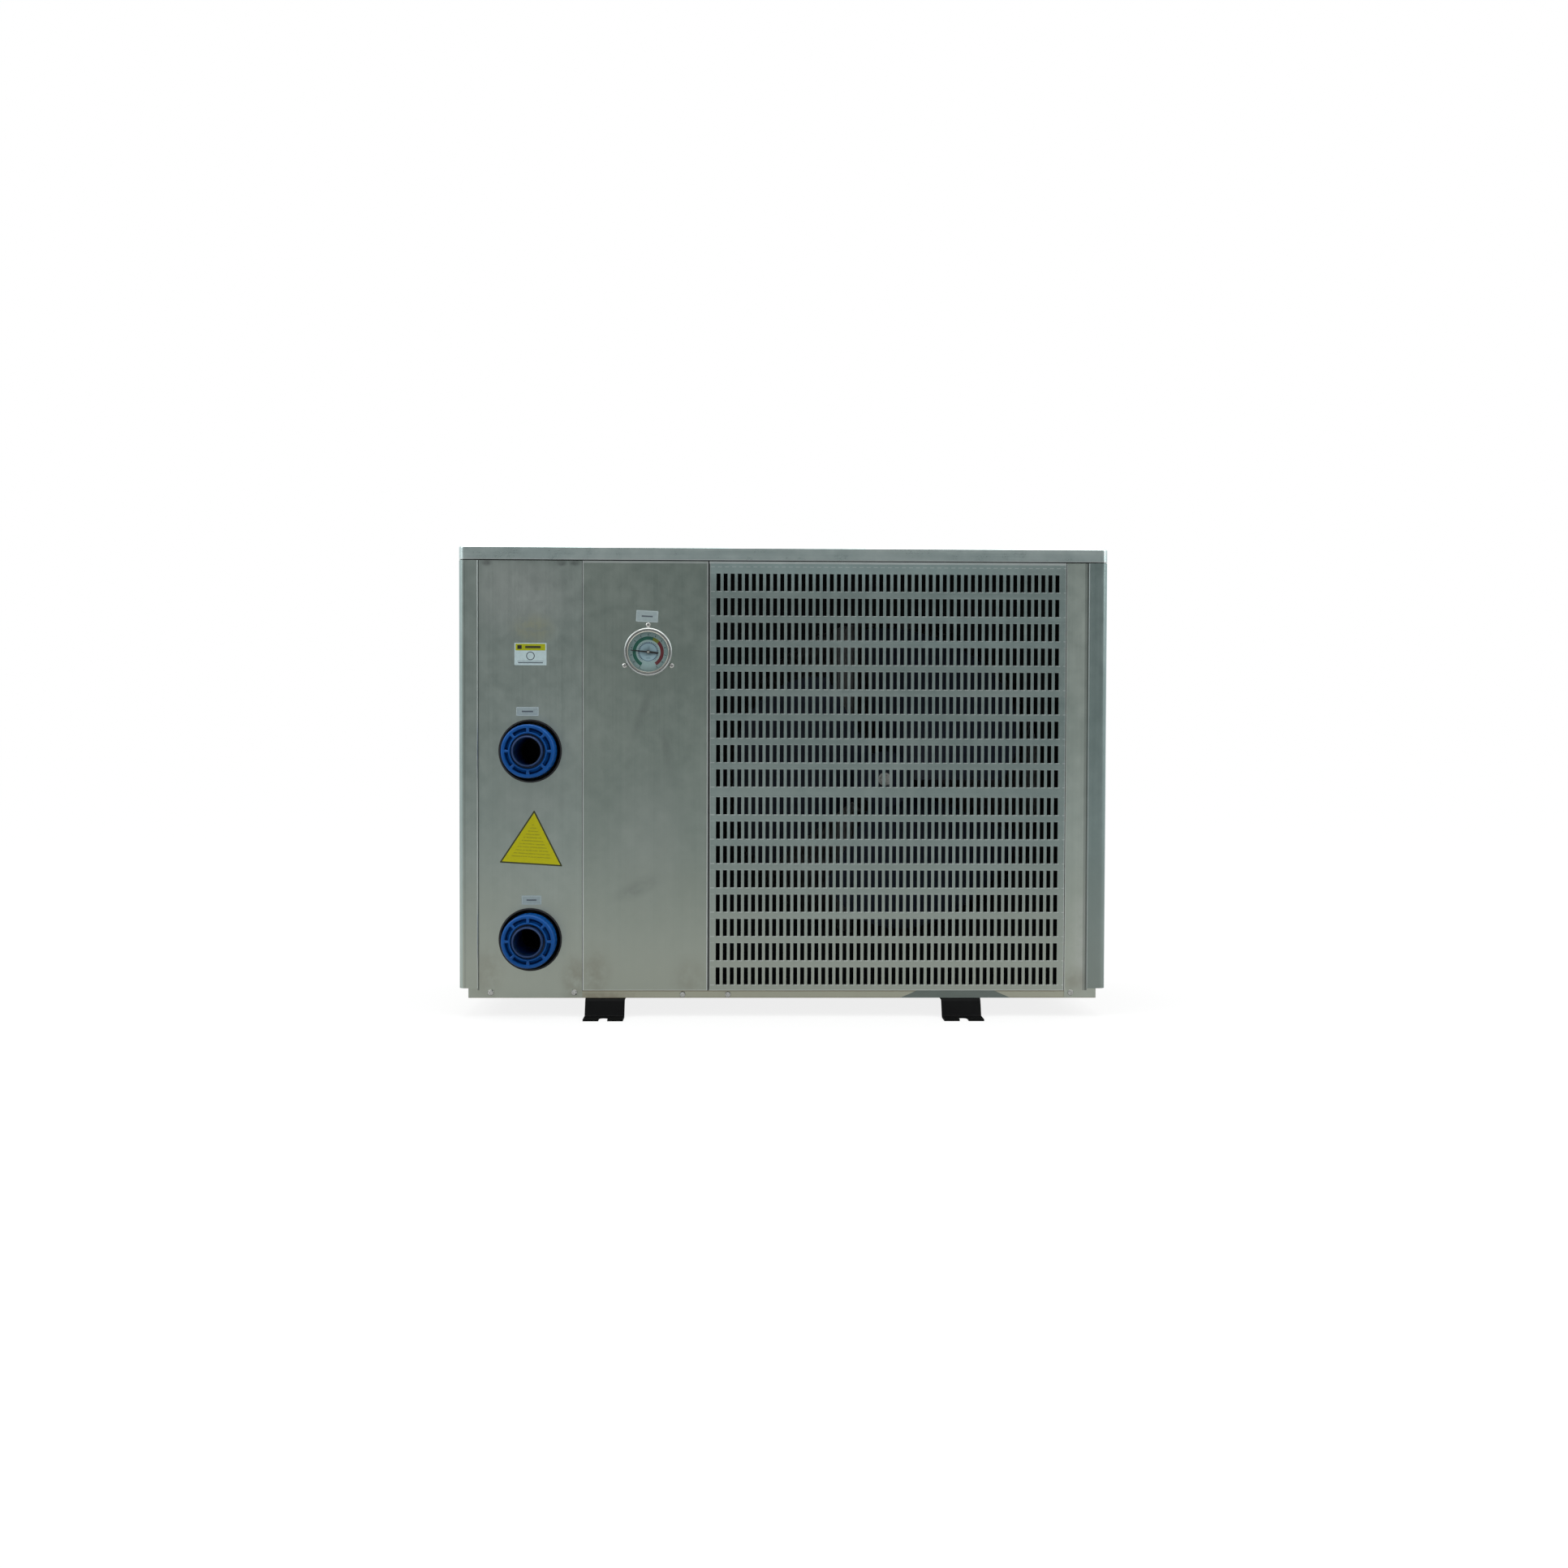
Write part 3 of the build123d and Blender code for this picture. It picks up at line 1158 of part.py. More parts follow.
def discharge_pipe():
    crest = VALVE_STUB_TOP + DISCHARGE_RISE
    return pipe(
        [
            (DISCHARGE_X, PIPE_Y, COMPRESSOR_TOP + STUB_LENGTH),
            (DISCHARGE_X, PIPE_Y, crest),
            (VALVE_X, PIPE_Y, crest),
            (VALVE_X, PIPE_Y, VALVE_STUB_TOP),
        ]
    )


def suction_pipe():
    low = ACCUMULATOR_TOP + STUB_LENGTH
    jog = (low + VALVE_STUB_BOTTOM) / 2
    return pipe(
        [
            (ACCUMULATOR_X, PIPE_Y, low),
            (ACCUMULATOR_X, PIPE_Y, jog),
            (VALVE_X, PIPE_Y, jog),
            (VALVE_X, PIPE_Y, VALVE_STUB_BOTTOM),
        ]
    )


def coil_gas_pipe():
    """From the reversing valve up and through the partition into the coil's inner row."""
    x = VALVE_X + VALVE_STUB_SPREAD
    run = x + COIL_GAS_RUN
    low = VALVE_STUB_BOTTOM - COIL_GAS_DROP
    row = coil_row_y(TUBE_ROWS[0])
    return pipe(
        [
            (x, PIPE_Y, VALVE_STUB_BOTTOM),
            (x, PIPE_Y, low),
            (run, PIPE_Y, low),
            (run, PIPE_Y, TUBE_TOP),
            (run, row, TUBE_TOP),
            (COIL_LEFT - SHEET, row, TUBE_TOP),
        ]
    )


def exchanger_gas_pipe():
    """From the reversing valve over the vessel's cap into its right-hand stub."""
    x = VALVE_X - VALVE_STUB_SPREAD
    stub_x, stub_y = cap_stub_places()[1]
    low = VALVE_STUB_BOTTOM - EXCHANGER_GAS_DROP
    crest = CAP_STUB_TOP + OVER_CAP_RISE
    back = VESSEL_Y + EXCHANGER_GAS_BACK
    return pipe(
        [
            (x, PIPE_Y, VALVE_STUB_BOTTOM),
            (x, PIPE_Y, low),
            (x, back, low),
            (x, back, crest),
            (stub_x, back, crest),
            (stub_x, stub_y, crest),
            (stub_x, stub_y, CAP_STUB_TOP),
        ],
        bend=EXCHANGER_GAS_BEND,
    )


def expansion_valve():
    """Electronic expansion valve with its coil housing on top of one side."""
    top = EXPANSION_TOP
    low = top - EXPANSION_LENGTH
    body = rod_z(EXPANSION_X, EXPANSION_Y, EXPANSION_RADIUS, low, top)
    coil_end = EXPANSION_Y + EXPANSION_COIL_LENGTH
    middle = (low + top) / 2
    return body + rod_y(EXPANSION_X, middle, EXPANSION_COIL_RADIUS, EXPANSION_Y, coil_end)


def liquid_pipes():
    """Pipe from the vessel to the expansion valve, and on to the coil's outer row."""
    stub_x, stub_y = cap_stub_places()[0]
    top = EXPANSION_TOP
    crest = top + OVER_CAP_RISE
    inlet = pipe(
        [
            (stub_x, stub_y, CAP_STUB_TOP),
            (stub_x, stub_y, crest),
            (EXPANSION_X, EXPANSION_Y, crest),
            (EXPANSION_X, EXPANSION_Y, top),
        ]
    )
    row = coil_row_y(TUBE_ROWS[1])
    drop = top - EXPANSION_LENGTH - LIQUID_DROP
    run = PARTITION_X - LIQUID_RUN
    outlet = pipe(
        [
            (EXPANSION_X, EXPANSION_Y, top - EXPANSION_LENGTH),
            (EXPANSION_X, EXPANSION_Y, drop),
            (EXPANSION_X, row, drop),
            (run, row, drop),
            (run, row, TUBE_TOP),
            (COIL_LEFT - SHEET, row, TUBE_TOP),
        ]
    )
    return Compound(children=[inlet.solid(), outlet.solid()])


# ---------------------------------------------------------------- pressure gauge
def gauge_screw_places():
    radius = GAUGE_CASE_RADIUS + GAUGE_SCREW_STEP
    turns = [math.radians(90 + i * 360 / GAUGE_SCREWS) for i in range(GAUGE_SCREWS)]
    return [(GAUGE_X + radius * math.cos(a), GAUGE_HEIGHT + radius * math.sin(a)) for a in turns]


def gauge_case():
    """Cup that passes through the panel, with a mounting flange behind it and a stem."""
    flange = DOOR_FACE + SHEET
    back = DOOR_FACE + GAUGE_DEPTH
    inner = GAUGE_CASE_RADIUS - GAUGE_CASE_WALL
    rim = GAUGE_CASE_RADIUS + GAUGE_FLANGE_RIM
    outline = [
        (inner, LENS_FRONT),
        (GAUGE_CASE_RADIUS, LENS_FRONT),
        (GAUGE_CASE_RADIUS, flange),
        (rim, flange),
        (rim, flange + BRACKET_SHEET),
        (GAUGE_CASE_RADIUS, flange + BRACKET_SHEET),
        (GAUGE_CASE_RADIUS, back),
        (0, back),
        (0, back - GAUGE_CASE_WALL),
        (inner, back - GAUGE_CASE_WALL),
    ]
    case = turned_y(GAUGE_X, GAUGE_HEIGHT, outline)
    for x, z in gauge_screw_places():
        case -= screw_hole_y(x, z, flange, BRACKET_SHEET)
    half, stem_end = STEM_SIDE / 2, back + STEM_LENGTH
    case += block(
        (GAUGE_X - half, back, GAUGE_HEIGHT - half), (GAUGE_X + half, stem_end, GAUGE_HEIGHT + half)
    )
    return case + rod_y(GAUGE_X, GAUGE_HEIGHT, half - STEM_STEP, stem_end, stem_end + STEM_LENGTH)


def gauge_bezel():
    """Rolled ring round the front of the case that holds the lens."""
    inner, window = GAUGE_CASE_RADIUS, GAUGE_CASE_RADIUS - BEZEL_LIP
    outline = [
        (inner, DOOR_FACE - GAUGE_FIT),
        (BEZEL_RADIUS, DOOR_FACE - GAUGE_FIT),
        (BEZEL_RADIUS, GAUGE_FACE + BEZEL_EDGE),
        (BEZEL_RADIUS - BEZEL_EDGE, GAUGE_FACE),
        (window, GAUGE_FACE),
        (window, LENS_FRONT),
        (inner, LENS_FRONT),
    ]
    return turned_y(GAUGE_X, GAUGE_HEIGHT, outline)


def gauge_lens():
    """Flat window just behind the bezel's lip."""
    return rod_y(GAUGE_X, GAUGE_HEIGHT, DIAL_RADIUS, LENS_FRONT, LENS_FRONT + LENS_THICKNESS)


def gauge_dial():
    """Dial plate with the fixed arbor that the pointer turns on."""
    dial = rod_y(GAUGE_X, GAUGE_HEIGHT, DIAL_RADIUS, DIAL_FACE, DIAL_FACE + DIAL_THICKNESS)
    return dial + rod_y(GAUGE_X, GAUGE_HEIGHT, ARBOR_RADIUS, DIAL_FACE - ARBOR_LENGTH, DIAL_FACE)


def gauge_needle():
    """Pointer with a long thin end, a short broad tail and a bored hub."""
    back = DIAL_FACE - NEEDLE_LIFT
    hub_front = back - 2 * NEEDLE_THICKNESS
    outline = [
        (NEEDLE_LENGTH, NEEDLE_TIP_WIDTH / 2),
        (0, NEEDLE_HUB_RADIUS / 2),
        (-NEEDLE_TAIL_TAPER, NEEDLE_TAIL_WIDTH / 2),
        (-NEEDLE_TAIL, NEEDLE_TAIL_WIDTH / 2),
    ]
    outline += [(x, -half) for x, half in reversed(outline)]
    corners = [(x, 0, z) for x, z in outline]
    blade = extrude(Face(Wire.make_polygon(corners)), amount=NEEDLE_THICKNESS, dir=(0, -1, 0))
    needle = Pos(GAUGE_X, back, GAUGE_HEIGHT) * Rot(0, -NEEDLE_ANGLE, 0) * blade
    needle += rod_y(GAUGE_X, GAUGE_HEIGHT, NEEDLE_HUB_RADIUS, hub_front, back)
    bore = ARBOR_RADIUS + ARBOR_CLEARANCE
    return needle - rod_y(GAUGE_X, GAUGE_HEIGHT, bore, hub_front, back)


# ---------------------------------------------------------------- electrics
def electric_box():
    """Open-fronted tray for the electrics, hung on the partition."""
    right = PARTITION_X - PARTITION_SHEET / 2
    box = block((BOX_LEFT, BOX_FRONT, BOX_BOTTOM), (right, BOX_REAR, BOX_TOP))
    return box - block(
        (BOX_LEFT + SHEET, BOX_FRONT, BOX_BOTTOM + SHEET),
        (right - SHEET, BOX_REAR - SHEET, BOX_TOP - SHEET),
    )


def contactor():
    """Moulded contactor with a raised head, on the back wall of the electric box."""
    width, depth, height = CONTACTOR_SIZE
    head_width, head_depth, head_height = CONTACTOR_HEAD_SIZE
    x, z, wall = BOX_LEFT + FITTING_INSET, BOX_TOP - CONTACTOR_DROP, BOX_REAR - SHEET
    head_x, head_z = x + (width - head_width) / 2, z + CONTACTOR_HEAD_LIFT
    front = wall - depth
    body = block((x, front, z), (x + width, wall, z + height))
    return body + block(
        (head_x, front - head_depth, head_z), (head_x + head_width, front, head_z + head_height)
    )


def terminal_block():
    """Row of screw terminals along the bottom of the electric box."""
    width, depth, height = TERMINAL_BLOCK_SIZE
    x, z, wall = BOX_LEFT + FITTING_INSET, BOX_BOTTOM + TERMINAL_BLOCK_LIFT, BOX_REAR - SHEET
    front = wall - depth
    rail = block((x, front, z), (x + width, wall, z + height))
    for i in range(TERMINALS):
        cell = x + TERMINAL_WALL + i * TERMINAL_PITCH
        rail -= block(
            (cell, front, z + TERMINAL_WALL),
            (cell + TERMINAL_WIDTH, front + TERMINAL_DEPTH, z + height - TERMINAL_WALL),
        )
    return rail


def capacitor():
    """Run capacitor can with its two tabs, clipped to the back wall."""
    wall = BOX_REAR - SHEET
    x, y, z = PARTITION_X - CAPACITOR_RUN, wall - CAPACITOR_SETOUT, BOX_BOTTOM + CAPACITOR_LIFT
    top = z + CAPACITOR_HEIGHT
    can = rod_z(x, y, CAPACITOR_RADIUS, z, top)
    for side in (-1, 1):
        can += Pos(x + side * TAB_SPREAD, y, top + TAB_SIZE[2] / 2) * Box(*TAB_SIZE)
    near, foot = y + CAPACITOR_RADIUS - CLIP_LAP, z + CLIP_LIFT
    return can + block((x - CLIP_WIDTH / 2, near, foot), (x + CLIP_WIDTH / 2, wall, foot + CLIP_HEIGHT))


def gland_places():
    return [LEFT + GLAND_RUN + i * GLAND_SPACING for i in range(2)]


def cable_glands():
    """Cable glands through the rear panel: hexagon outside, lock nut inside."""
    glands = []
    face, back = -FIXED_FACE, -PAN_FACE
    for x in gland_places():
        hexagon = RegularPolygon(GLAND_FLATS / 2, 6, major_radius=False)
        place = Plane(origin=(x, 0, GLAND_HEIGHT), x_dir=(1, 0, 0), z_dir=(0, 1, 0))
        head = Pos(0, face, 0) * extrude(place * hexagon, amount=GLAND_HEAD)
        nut = Pos(0, back - GLAND_NUT, 0) * extrude(place * hexagon, amount=GLAND_NUT)
        outline = [
            (0, back - GLAND_IN),
            (GLAND_THREAD_RADIUS, back - GLAND_IN),
            (GLAND_THREAD_RADIUS, face + GLAND_OUT - GLAND_DOME),
            (GLAND_THREAD_RADIUS - GLAND_DOME_STEP, face + GLAND_OUT),
            (0, face + GLAND_OUT),
        ]
        gland = head + nut + turned_y(x, GLAND_HEIGHT, outline)
        gland -= rod_y(x, GLAND_HEIGHT, GLAND_BORE_RADIUS, back - GLAND_IN, face + GLAND_OUT)
        glands.append(gland.solid())
    return Compound(children=glands)


# ---------------------------------------------------------------- small trim
def drain_spout():
    """Condensate spout: a flange on the pan floor, a neck through the pan and a hose tube below it."""
    floor = PAN_FLOOR
    shoulder, neck = FOOT_HEIGHT - DRAIN_NECK_DROP, DRAIN_RADIUS + DRAIN_NECK_STEP
    outline = [
        (DRAIN_BORE_RADIUS, DRAIN_TIP),
        (DRAIN_RADIUS, DRAIN_TIP),
        (DRAIN_RADIUS, shoulder),
        (neck, shoulder),
        (neck, floor),
        (DRAIN_FLANGE_RADIUS, floor),
        (DRAIN_FLANGE_RADIUS, floor + DRAIN_FLANGE),
        (DRAIN_BORE_RADIUS, floor + DRAIN_FLANGE),
    ]
    return turned_z(DRAIN_X, DRAIN_Y, outline)


def screw(head_radius):
    """Pan-head cross-recess screw along Z, its head standing up from z = 0."""
    top = SCREW_HEAD_HEIGHT
    outline = [
        (0, -SCREW_LENGTH),
        (SCREW_RADIUS, -SCREW_LENGTH),
        (SCREW_RADIUS, 0),
        (head_radius, 0),
        (head_radius, 0.3 * top),
        (0.86 * head_radius, 0.7 * top),
        (0.55 * head_radius, 0.95 * top),
        (0, top),
    ]
    body = turned_z(0, 0, outline)
    arm = 1.1 * head_radius
    for size in ((arm, RECESS_WIDTH), (RECESS_WIDTH, arm)):
        body -= Pos(0, 0, top) * Box(size[0], size[1], 2 * RECESS_DEPTH)
    return body


def screw_hole_y(x, z, y, thickness):
    return rod_y(x, z, SCREW_RADIUS + SCREW_HOLE_CLEARANCE, y, y + thickness)


def screw_hole_x(y, z, x, thickness):
    return rod_x(y, z, SCREW_RADIUS + SCREW_HOLE_CLEARANCE, x, x + thickness)


def panel_screws():
    """Every screw that shows: pan, gauge flange and cover."""
    large, small = screw(SCREW_HEAD_RADIUS), screw(GAUGE_SCREW_HEAD_RADIUS)
    forward, backward = Rot(90, 0, 0), Rot(-90, 0, 0)
    screws = [Pos(x, FIXED_FACE, z) * forward * large for x, z in LAPPED_SCREWS]
    screws += [Pos(x, PAN_FACE, z) * forward * large for x, z in SILL_SCREWS]
    screws += [Pos(x, DOOR_FACE, z) * forward * small for x, z in gauge_screw_places()]
    screws += [Pos(x, -FIXED_FACE, z) * backward * large for x, z in REAR_SCREWS]
    for y in (-COVER_SCREW_Y, COVER_SCREW_Y):
        screws.append(Pos(LEFT, y, COVER_SCREW_Z) * Rot(0, -90, 0) * large)
        screws.append(Pos(RIGHT, y, COVER_SCREW_Z) * Rot(0, 90, 0) * large)
    return Compound(children=[s.solid() for s in screws])


def label(x, z, place, face, turn=0.0):
    """Thin plain plate on a panel's face, beside the fitting at (x, z)."""
    right, up, width, height = place
    plate = Box(width, LABEL_THICKNESS, height)
    return (Pos(x + right, face - LABEL_THICKNESS / 2, z + up) * Rot(0, turn, 0) * plate).solid()


def triangle_plate():
    """Thin triangle, point up, on the connection panel between the two unions."""
    radius = TRIANGLE_SIDE / math.sqrt(3)
    shape = Plane.XZ * Rot(0, 0, 90) * RegularPolygon(radius, 3)
    shape = fillet(shape.vertices(), TRIANGLE_ROUNDING)
    plate = Rot(0, TRIANGLE_TURN, 0) * extrude(shape, amount=LABEL_THICKNESS)
    return (Pos(UNION_X + TRIANGLE_RIGHT, FIXED_FACE, INLET_HEIGHT + TRIANGLE_UP) * plate).solid()


def label_plates():
    """Blank plates: one over each union, two on the connection panel, one by the gauge."""
    plates = [
        label(UNION_X, OUTLET_HEIGHT, OUTLET_LABEL, FIXED_FACE),
        label(UNION_X, INLET_HEIGHT, INLET_LABEL, FIXED_FACE),
        label(UNION_X, OUTLET_HEIGHT, NOTICE_LABEL, FIXED_FACE),
        label(GAUGE_X, GAUGE_HEIGHT, GAUGE_LABEL, DOOR_FACE, GAUGE_LABEL_TURN),
        triangle_plate(),
    ]
    return Compound(children=plates)


# ---------------------------------------------------------------- the assembly
NODES = {
    "base_pan": base_pan(),
    "left_foot_rail": foot_rail(-FOOT_SPREAD / 2),
    "right_foot_rail": foot_rail(FOOT_SPREAD / 2),
    "front_left_post": front_left_post(),
    "front_right_post": right_side(front_left_post()),
    "rear_left_post": rear_side(front_left_post()),
    "rear_right_post": rear_side(right_side(front_left_post())),
    "top_cover": top_cover(),
    "cover_gasket": cover_gasket(),
    "connection_panel": connection_panel(),
    "service_panel": service_panel(),
    "fan_grille": fan_grille(),
    "right_front_strip": right_front_strip(),
    "left_side_panel": left_side_panel(),
    "rear_panel": rear_panel(),
    "rear_coil_guard": rear_coil_guard(),
    "side_coil_guard": side_coil_guard(),
    "partition_plate": partition_plate(),
    "fan_shroud": fan_shroud(),
    "fan_rotor": fan_rotor(),
    "motor_shaft": motor_shaft(),
    "fan_hub_nut": fan_hub_nut(),
    "fan_motor": fan_motor(),
    "motor_bracket": motor_bracket(),
    "coil_fins": coil_fins(),
    "coil_end_plates": coil_end_plates(),
    "coil_return_bends": coil_return_bends(),
    "union_bodies": union_bodies(),
    "union_seals": union_seals(),
    "outlet_tailpiece": union_tailpiece(OUTLET_HEIGHT),
    "inlet_tailpiece": union_tailpiece(INLET_HEIGHT),
    "outlet_nut": union_nut(OUTLET_HEIGHT),
    "inlet_nut": union_nut(INLET_HEIGHT),
    "union_grommets": union_grommets(),
    "heat_exchanger_shell": heat_exchanger_shell(),
    "heat_exchanger_cap": heat_exchanger_cap(),
    "compressor": compressor(),
    "compressor_mounts": compressor_mounts(),
    "terminal_cover": terminal_cover(),
    "accumulator": accumulator(),
    "reversing_valve": reversing_valve(),
    "discharge_pipe": discharge_pipe(),
    "suction_pipe": suction_pipe(),
    "coil_gas_pipe": coil_gas_pipe(),
    "exchanger_gas_pipe": exchanger_gas_pipe(),
    "expansion_valve": expansion_valve(),
    "liquid_pipes": liquid_pipes(),
    "gauge_case": gauge_case(),
    "gauge_bezel": gauge_bezel(),
    "gauge_lens": gauge_lens(),
    "gauge_dial": gauge_dial(),
    "gauge_needle": gauge_needle(),
    "electric_box": electric_box(),
    "contactor": contactor(),
    "terminal_block": terminal_block(),
    "capacitor": capacitor(),
    "cable_glands": cable_glands(),
    "panel_screws": panel_screws(),
    "label_plates": label_plates(),
    "drain_spout": drain_spout(),
}

os.makedirs("parts", exist_ok=True)
for name, shape in NODES.items():
    export_step(shape, f"parts/{name}.step")
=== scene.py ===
import logging
import math
from collections.abc import Sequence
from dataclasses import dataclass, field
from enum import Enum

import bmesh
import bpy
from mathutils import Matrix, Vector


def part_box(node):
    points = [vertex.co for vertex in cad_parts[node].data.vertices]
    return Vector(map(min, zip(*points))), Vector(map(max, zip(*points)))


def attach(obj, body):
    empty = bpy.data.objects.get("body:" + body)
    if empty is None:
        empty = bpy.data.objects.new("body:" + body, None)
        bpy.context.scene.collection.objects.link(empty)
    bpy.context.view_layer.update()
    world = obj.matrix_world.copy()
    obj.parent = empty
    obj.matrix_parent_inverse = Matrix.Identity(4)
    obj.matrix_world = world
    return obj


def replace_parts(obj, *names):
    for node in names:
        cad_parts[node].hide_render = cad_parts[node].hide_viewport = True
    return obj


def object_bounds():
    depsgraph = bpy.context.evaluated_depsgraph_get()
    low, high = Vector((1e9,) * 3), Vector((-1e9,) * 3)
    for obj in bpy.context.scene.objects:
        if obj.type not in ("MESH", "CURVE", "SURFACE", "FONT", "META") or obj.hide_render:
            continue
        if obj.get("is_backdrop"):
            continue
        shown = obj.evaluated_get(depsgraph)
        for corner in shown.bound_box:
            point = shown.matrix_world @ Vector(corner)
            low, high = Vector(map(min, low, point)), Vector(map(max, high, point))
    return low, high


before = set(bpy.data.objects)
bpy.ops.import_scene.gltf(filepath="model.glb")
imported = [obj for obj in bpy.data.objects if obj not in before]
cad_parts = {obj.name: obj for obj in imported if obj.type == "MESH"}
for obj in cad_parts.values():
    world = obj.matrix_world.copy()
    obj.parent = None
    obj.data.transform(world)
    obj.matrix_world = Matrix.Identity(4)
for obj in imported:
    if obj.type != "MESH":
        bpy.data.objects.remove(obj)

MM = 0.001
Colour = tuple[float, float, float, float]
Pair = tuple[float, float]
log = logging.getLogger("heat_pump")


def shade(red: float, green: float, blue: float) -> Colour:
    """Linear colour with full alpha."""
    return (red, green, blue, 1.0)


def toned(colour: Colour, share: float, lift: float = 0.0) -> Colour:
    """A colour scaled by a share and lifted, still with full alpha."""
    return shade(*(min(1.0, share * part + lift) for part in colour[:3]))


# ------------------------------------------------------------------ shader graph
class Wire:
    """An output socket; arithmetic on it adds Math nodes to its graph."""

    def __init__(self, graph: "Graph", socket: bpy.types.NodeSocket) -> None:
        """Keeps the graph and the socket."""
        self.graph = graph
        self.socket = socket

    def __add__(self, other: "Wire | float") -> "Wire":
        """Sum."""
        return self.graph.math("ADD", self, other)

    def __radd__(self, other: float) -> "Wire":
        """Sum with a number on the left."""
        return self.graph.math("ADD", other, self)

    def __sub__(self, other: "Wire | float") -> "Wire":
        """Difference."""
        return self.graph.math("SUBTRACT", self, other)

    def __rsub__(self, other: float) -> "Wire":
        """Difference with a number on the left."""
        return self.graph.math("SUBTRACT", other, self)

    def __mul__(self, other: "Wire | float") -> "Wire":
        """Product."""
        return self.graph.math("MULTIPLY", self, other)

    def __rmul__(self, other: float) -> "Wire":
        """Product with a number on the left."""
        return self.graph.math("MULTIPLY", other, self)

    def __truediv__(self, other: "Wire | float") -> "Wire":
        """Quotient."""
        return self.graph.math("DIVIDE", self, other)

    def __pow__(self, other: "Wire | float") -> "Wire":
        """Power."""
        return self.graph.math("POWER", self, other)

    def __lt__(self, other: "Wire | float") -> "Wire":
        """1 where this is less."""
        return self.graph.math("LESS_THAN", self, other)

    def __gt__(self, other: "Wire | float") -> "Wire":
        """1 where this is greater."""
        return self.graph.math("GREATER_THAN", self, other)

    def __abs__(self) -> "Wire":
        """Size without sign."""
        return self.graph.math("ABSOLUTE", self)


class Graph:
    """Builds the nodes of one material or of the world."""

    def __init__(self, tree: bpy.types.NodeTree) -> None:
        """Starts from an empty node tree."""
        self.tree = tree
        tree.nodes.clear()

    def add(self, kind: str, settings: dict | None = None, sockets: dict | None = None) -> bpy.types.Node:
        """Adds one node.

        Args:
            kind: node type, such as "ShaderNodeMath".
            settings: properties of the node, set before its inputs.
            sockets: input name or index to a value or a Wire.

        Returns:
            The node.
        """
        node = self.tree.nodes.new(kind)
        for name, value in (settings or {}).items():
            setattr(node, name, value)
        for key, value in (sockets or {}).items():
            if isinstance(value, Wire):
                self.tree.links.new(value.socket, node.inputs[key])
            else:
                node.inputs[key].default_value = value
        return node

    def wire(self, node: bpy.types.Node, output: str | int = 0) -> Wire:
        """An output of a node as a Wire."""
        return Wire(self, node.outputs[output])

    def math(self, operation: str, *values: Wire | float) -> Wire:
        """A Math node on up to three values."""
        return self.wire(self.add("ShaderNodeMath", {"operation": operation}, dict(enumerate(values))))

    def place(self) -> Wire:
        """The piece's own coordinates, in metres."""
        return self.wire(self.add("ShaderNodeTexCoord"), "Object")

    def split(self, vector: Wire) -> tuple[Wire, Wire, Wire]:
        """The three parts of a vector."""
        node = self.add("ShaderNodeSeparateXYZ", None, {0: vector})
        return self.wire(node, 0), self.wire(node, 1), self.wire(node, 2)

    def stretch(self, vector: Wire, amounts: Sequence[float]) -> Wire:
        """A vector multiplied part by part."""
        node = self.add("ShaderNodeVectorMath", {"operation": "MULTIPLY"}, {0: vector, 1: tuple(amounts)})
        return self.wire(node)

    def noise(self, vector: Wire, scale: float, detail: float = 3.0, rough: float = 0.55) -> Wire:
        """Soft cloud noise from 0 to 1."""
        sockets = {"Vector": vector, "Scale": scale, "Detail": detail, "Roughness": rough}
        return self.wire(self.add("ShaderNodeTexNoise", {"noise_dimensions": "3D"}, sockets), 0)

    def cells(self, vector: Wire, scale: float) -> Wire:
        """A random colour for each cell of a cellular pattern."""
        sockets = {"Vector": vector, "Scale": scale}
        return self.wire(self.add("ShaderNodeTexVoronoi", {"feature": "F1"}, sockets), 1)

    def ease(self, value: Wire, low: float, high: float, out_low: float = 0.0, out_high: float = 1.0) -> Wire:
        """Smooth step of a value from low to high."""
        sockets = {0: value, 1: low, 2: high, 3: out_low, 4: out_high}
        return self.wire(self.add("ShaderNodeMapRange", {"interpolation_type": "SMOOTHSTEP"}, sockets))

    def blend(self, factor: Wire | float, a: Wire | Colour, b: Wire | Colour) -> Wire:
        """A colour mix, a at factor 0 and b at 1."""
        settings = {"data_type": "RGBA", "blend_type": "MIX", "clamp_factor": True}
        return self.wire(self.add("ShaderNodeMix", settings, {0: factor, 6: a, 7: b}), 2)

    def bump(self, height: Wire, strength: float, distance: float, normal: Wire | None = None) -> Wire:
        """A bumped normal."""
        sockets = {"Height": height, "Strength": strength, "Distance": distance}
        if normal is not None:
            sockets["Normal"] = normal
        return self.wire(self.add("ShaderNodeBump", None, sockets))

    def disc(self, x: Wire, z: Wire, centre: Pair, reach: Pair, turn: float) -> Wire:
        """A soft-edged oval mask.

        Args:
            x: coordinate across.
            z: coordinate up.
            centre: middle of the oval.
            reach: half width and half height, where the mask fades out.
            turn: how far the oval leans, in degrees.

        Returns:
            1 at the middle, 0 outside.
        """
        c, s = math.cos(math.radians(turn)), math.sin(math.radians(turn))
        across, up = x - centre[0], z - centre[1]
        u = (across * c + up * s) / reach[0]
        v = (up * c - across * s) / reach[1]
        return self.ease(self.math("SQRT", u * u + v * v), 1.0, 0.15)

    def box(self, x: Wire, z: Wire, low: Pair, high: Pair) -> Wire:
        """A hard-edged rectangle mask."""
        return (x > low[0]) * (x < high[0]) * (z > low[1]) * (z < high[1])

    def surface(self, sockets: dict) -> None:
        """A Principled shader linked to the material's output."""
        node = self.add("ShaderNodeBsdfPrincipled", None, sockets)
        self.add("ShaderNodeOutputMaterial", None, {"Surface": self.wire(node)})


